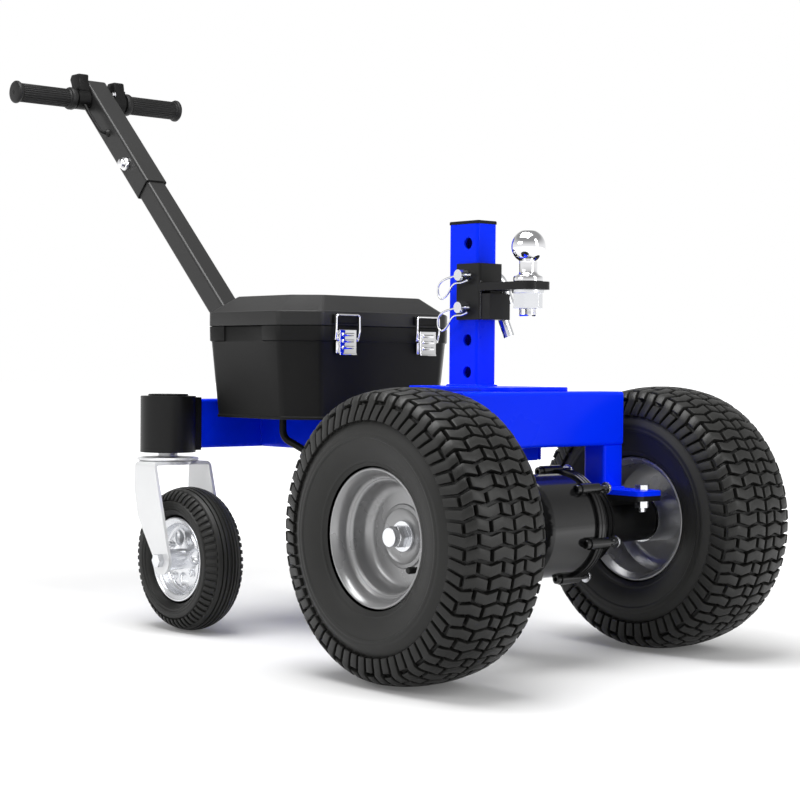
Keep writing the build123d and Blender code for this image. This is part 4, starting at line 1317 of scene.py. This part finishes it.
print(grips.name, "faces:", len(grips.data.polygons))

# %% [markdown]
# ## Pods, clamp bolt and grommet
# Two small pods beside the grips hold the throttle and the switch. A domed bolt clamps the sliding tube, a
# screw sits on the switch pod, and a rubber grommet guides the lead into the tube. Plain cylinders would
# show at once, so the small round parts are spun from their own outlines.

# %% Pods, clamp bolt and grommet
softened("throttle_pod", "handle", case_plastic, 2.2 * MM, segments=3)
softened("switch_pod", "handle", case_plastic, 2.2 * MM, segments=3)
clamp_mid = middle("clamp_bolt")
tube_side = -22 * MM
clamp_line = mm((0, -3), (11.2, -0.5), (12, 1), (12, 4.5), (10.6, 6.6), (9, 7), (8.8, 11), (7.6, 14))
clamp_line += mm((4.6, 15.6), (0, 16))
clamp = turned("clamp_bolt_domed", facing(clamp_line, -1), (clamp_mid.x, tube_side, clamp_mid.z), 40)
dress(clamp, "handle", chrome_plate, "clamp_bolt")
switch_low, switch_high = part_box("switch_pod")
screw_spot = (middle("switch_pod").x + 12 * MM, switch_low.y + 1 * MM, switch_high.z - 12 * MM)
screw = hex_bolt("pod_screw", screw_spot, -1, 7 * MM, 4 * MM)
dress(screw, "handle", chrome_plate)
grommet_line = mm((0, -1), (7, -1), (7.4, 0.5), (6.4, 3), (4, 6), (0, 6))
lead_low, lead_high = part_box("control_lead")
lead_r = 3 * MM
lead_end = (lead_high.x - lead_r, tube_side, lead_low.z + lead_r)
grommet = turned("lead_grommet", facing(grommet_line, -1), lead_end, 28)
dress(grommet, "handle", grip_rubber)
print("grommet at x in mm:", round(lead_end[0] / MM, 1))

# %% [markdown]
# ## Throttle lever and switch block
# A thumb lever stands on one pod and a lower block on the other. Both grow from a small cube: its top is
# raised, leaned back, then hooked over and drawn in, and a wide bevel makes it kind to a thumb.

# %% Throttle lever and switch block
BAR_OVER_POD = 18 * MM
BLOCK_OVER_BAR = 20 * MM


def pod_block(name, node, rise, length, lean, toe):
    """A thumb block that grows from the top of a pod: raised, leaned back and hooked over."""
    block_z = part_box(node)[0].z + BAR_OVER_POD + BLOCK_OVER_BAR
    made = started(bpy.ops.mesh.primitive_cube_add, size=1, location=(grip_mid.x, middle(node).y, block_z),
                   scale=(length, 22 * MM, 12 * MM))
    made.name = name
    apply_place(made)
    for step, shift, widen in ((rise * 0.55, lean, 1.05), (rise * 0.45, toe, 0.86)):
        top = max(v.co.z for v in made.data.vertices)
        pick_faces(made, lambda face: face.center.z > top - 1e-5)
        extrude(shift, 0, step)
        bpy.ops.transform.resize(value=(widen, 1, 1))
        leave_edit()
    rounded(made, 3 * MM, 4, 25)
    smooth(made, 50)
    dress(made, "handle", case_plastic)
    print(made.name, "top in mm:", round(max(v.co.z for v in made.data.vertices) / MM, 1))


pod_block("throttle_lever", "throttle_pod", 20 * MM, 30 * MM, -5 * MM, 3 * MM)
pod_block("switch_block", "switch_pod", 12 * MM, 26 * MM, -2 * MM, 1 * MM)

# %% [markdown]
# ## Batteries
# Two batteries fill the case and show when the lid is up. Each top, a guess, has a raised step with six caps
# and two lead posts. They could be left as blocks, but an open lid would then show bare boxes. The step
# grows from a plane by extrude and inset; caps and posts are spun once and copied.

# %% Battery tops
softened("batteries", "chassis", battery_plastic, 2.4 * MM, segments=3)
cell_low, cell_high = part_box("batteries")
free_h = case_high.z - cell_high.z
step_h = min(5 * MM, free_h / 4)
step_in = 16 * MM
cell_gap = 3 * MM
cell_w = cell_high.y - cell_gap
top_z = cell_high.z - 0.5 * MM
seat_z = top_z + step_h - 1.6 * MM
cap_x, cap_y = 26 * MM, 20 * MM
post_x, post_y = 48 * MM, 34 * MM
cap_line = mm((0, 0), (8.6, 0), (8.6, 1.8), (7.8, 2.6), (5.4, 2.6), (5, 1.9), (0, 1.9))
post_line = mm((0, 0), (9.5, 0), (9.5, 1.4), (7.4, 2), (6.7, 9.2), (6, 10), (0, 10))
tops = []
posts = []
for out in (-1, 1):
    mid_y = out * (cell_gap + cell_w / 2)
    step = started(bpy.ops.mesh.primitive_plane_add, size=1, location=(box_mid.x, mid_y, top_z))
    step.scale = (cell_high.x - cell_low.x - step_in, cell_w - step_in, 1)
    apply_place(step)
    edit(step, "SELECT", "FACE")
    extrude(0, 0, step_h)
    bpy.ops.mesh.inset(thickness=4 * MM)
    extrude(0, 0, -1.5 * MM)
    leave_edit()
    clean(step)
    rounded(step, 1.2 * MM, 3, 30)
    tops.append(step)
    spots = [(box_mid.x + kx * cap_x, mid_y + ky * cap_y, seat_z) for kx in (-1, 0, 1) for ky in (-1, 1)]
    tops += copies(turned("cell_cap", cap_line, spots[0], 32, way=(0, 0, 1)), spots)
    ends = [(box_mid.x + k * post_x, mid_y - out * post_y, seat_z) for k in (-1, 1)]
    posts += copies(turned("lead_post", post_line, ends[0], 32, way=(0, 0, 1)), ends)
cell_tops = join("battery_tops", tops)
smooth(cell_tops, 35)
dress(cell_tops, "chassis", battery_plastic)
lead_posts = join("battery_posts", posts)
dress(lead_posts, "chassis", zinc_plate)
print("room above the batteries in mm:", round(free_h / MM, 1))

# %% [markdown]
# ## Tow ball
# The ball, its neck and its seat are forged and turned in one piece and chromed. A sphere on a cylinder
# would leave a hard line at the neck, so the whole outline is spun at once. The thread below the nut is a
# helix on the real one; fine rings look the same from any side.

# %% Turned ball and thread
ball_low, ball_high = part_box("tow_ball")
ball_x = middle("tow_ball").x
ball_r = size_of("tow_ball").y / 2
ball_flat = 2 * MM
ball_c = ball_high.z + ball_flat - ball_r
plate_top = ball_c - 48.6 * MM
arc_step = 8.2
tail = ball_low.z
thread_top = tail + 14 * MM
thread_r, root_r = 12.7 * MM, 11.6 * MM
pitch = 1.75 * MM
ball_line = [(0, ball_high.z), (9 * MM, ball_high.z)]
for k in range(3, 19):
    turn = math.radians(90 - arc_step * k)
    ball_line.append((ball_r * math.cos(turn), ball_c + ball_r * math.sin(turn)))
ball_line += mm((12.6, -2.5), at=(0, ball_line[-1][1]))
ball_line += mm((12.4, 14), (13.4, 11), (16, 9), (19.6, 7.6), (20.6, 6), (20.6, 1), (19.6, 0), (12.7, 0),
                at=(0, plate_top))
ball_line.append((thread_r, thread_top))
for k in range(7):
    z = thread_top - k * pitch
    ball_line += [(root_r, z - 0.4 * pitch), (thread_r, z - 0.8 * pitch)]
ball_line += [(11.2 * MM, tail), (0, tail)]
ball = turned("tow_ball_turned", ball_line, (ball_x, 0, 0), 88, way=(0, 0, 1))
dress(ball, "chassis", chrome_plate, "tow_ball")
print("tow ball across in mm:", round(2 * ball_r / MM, 1))
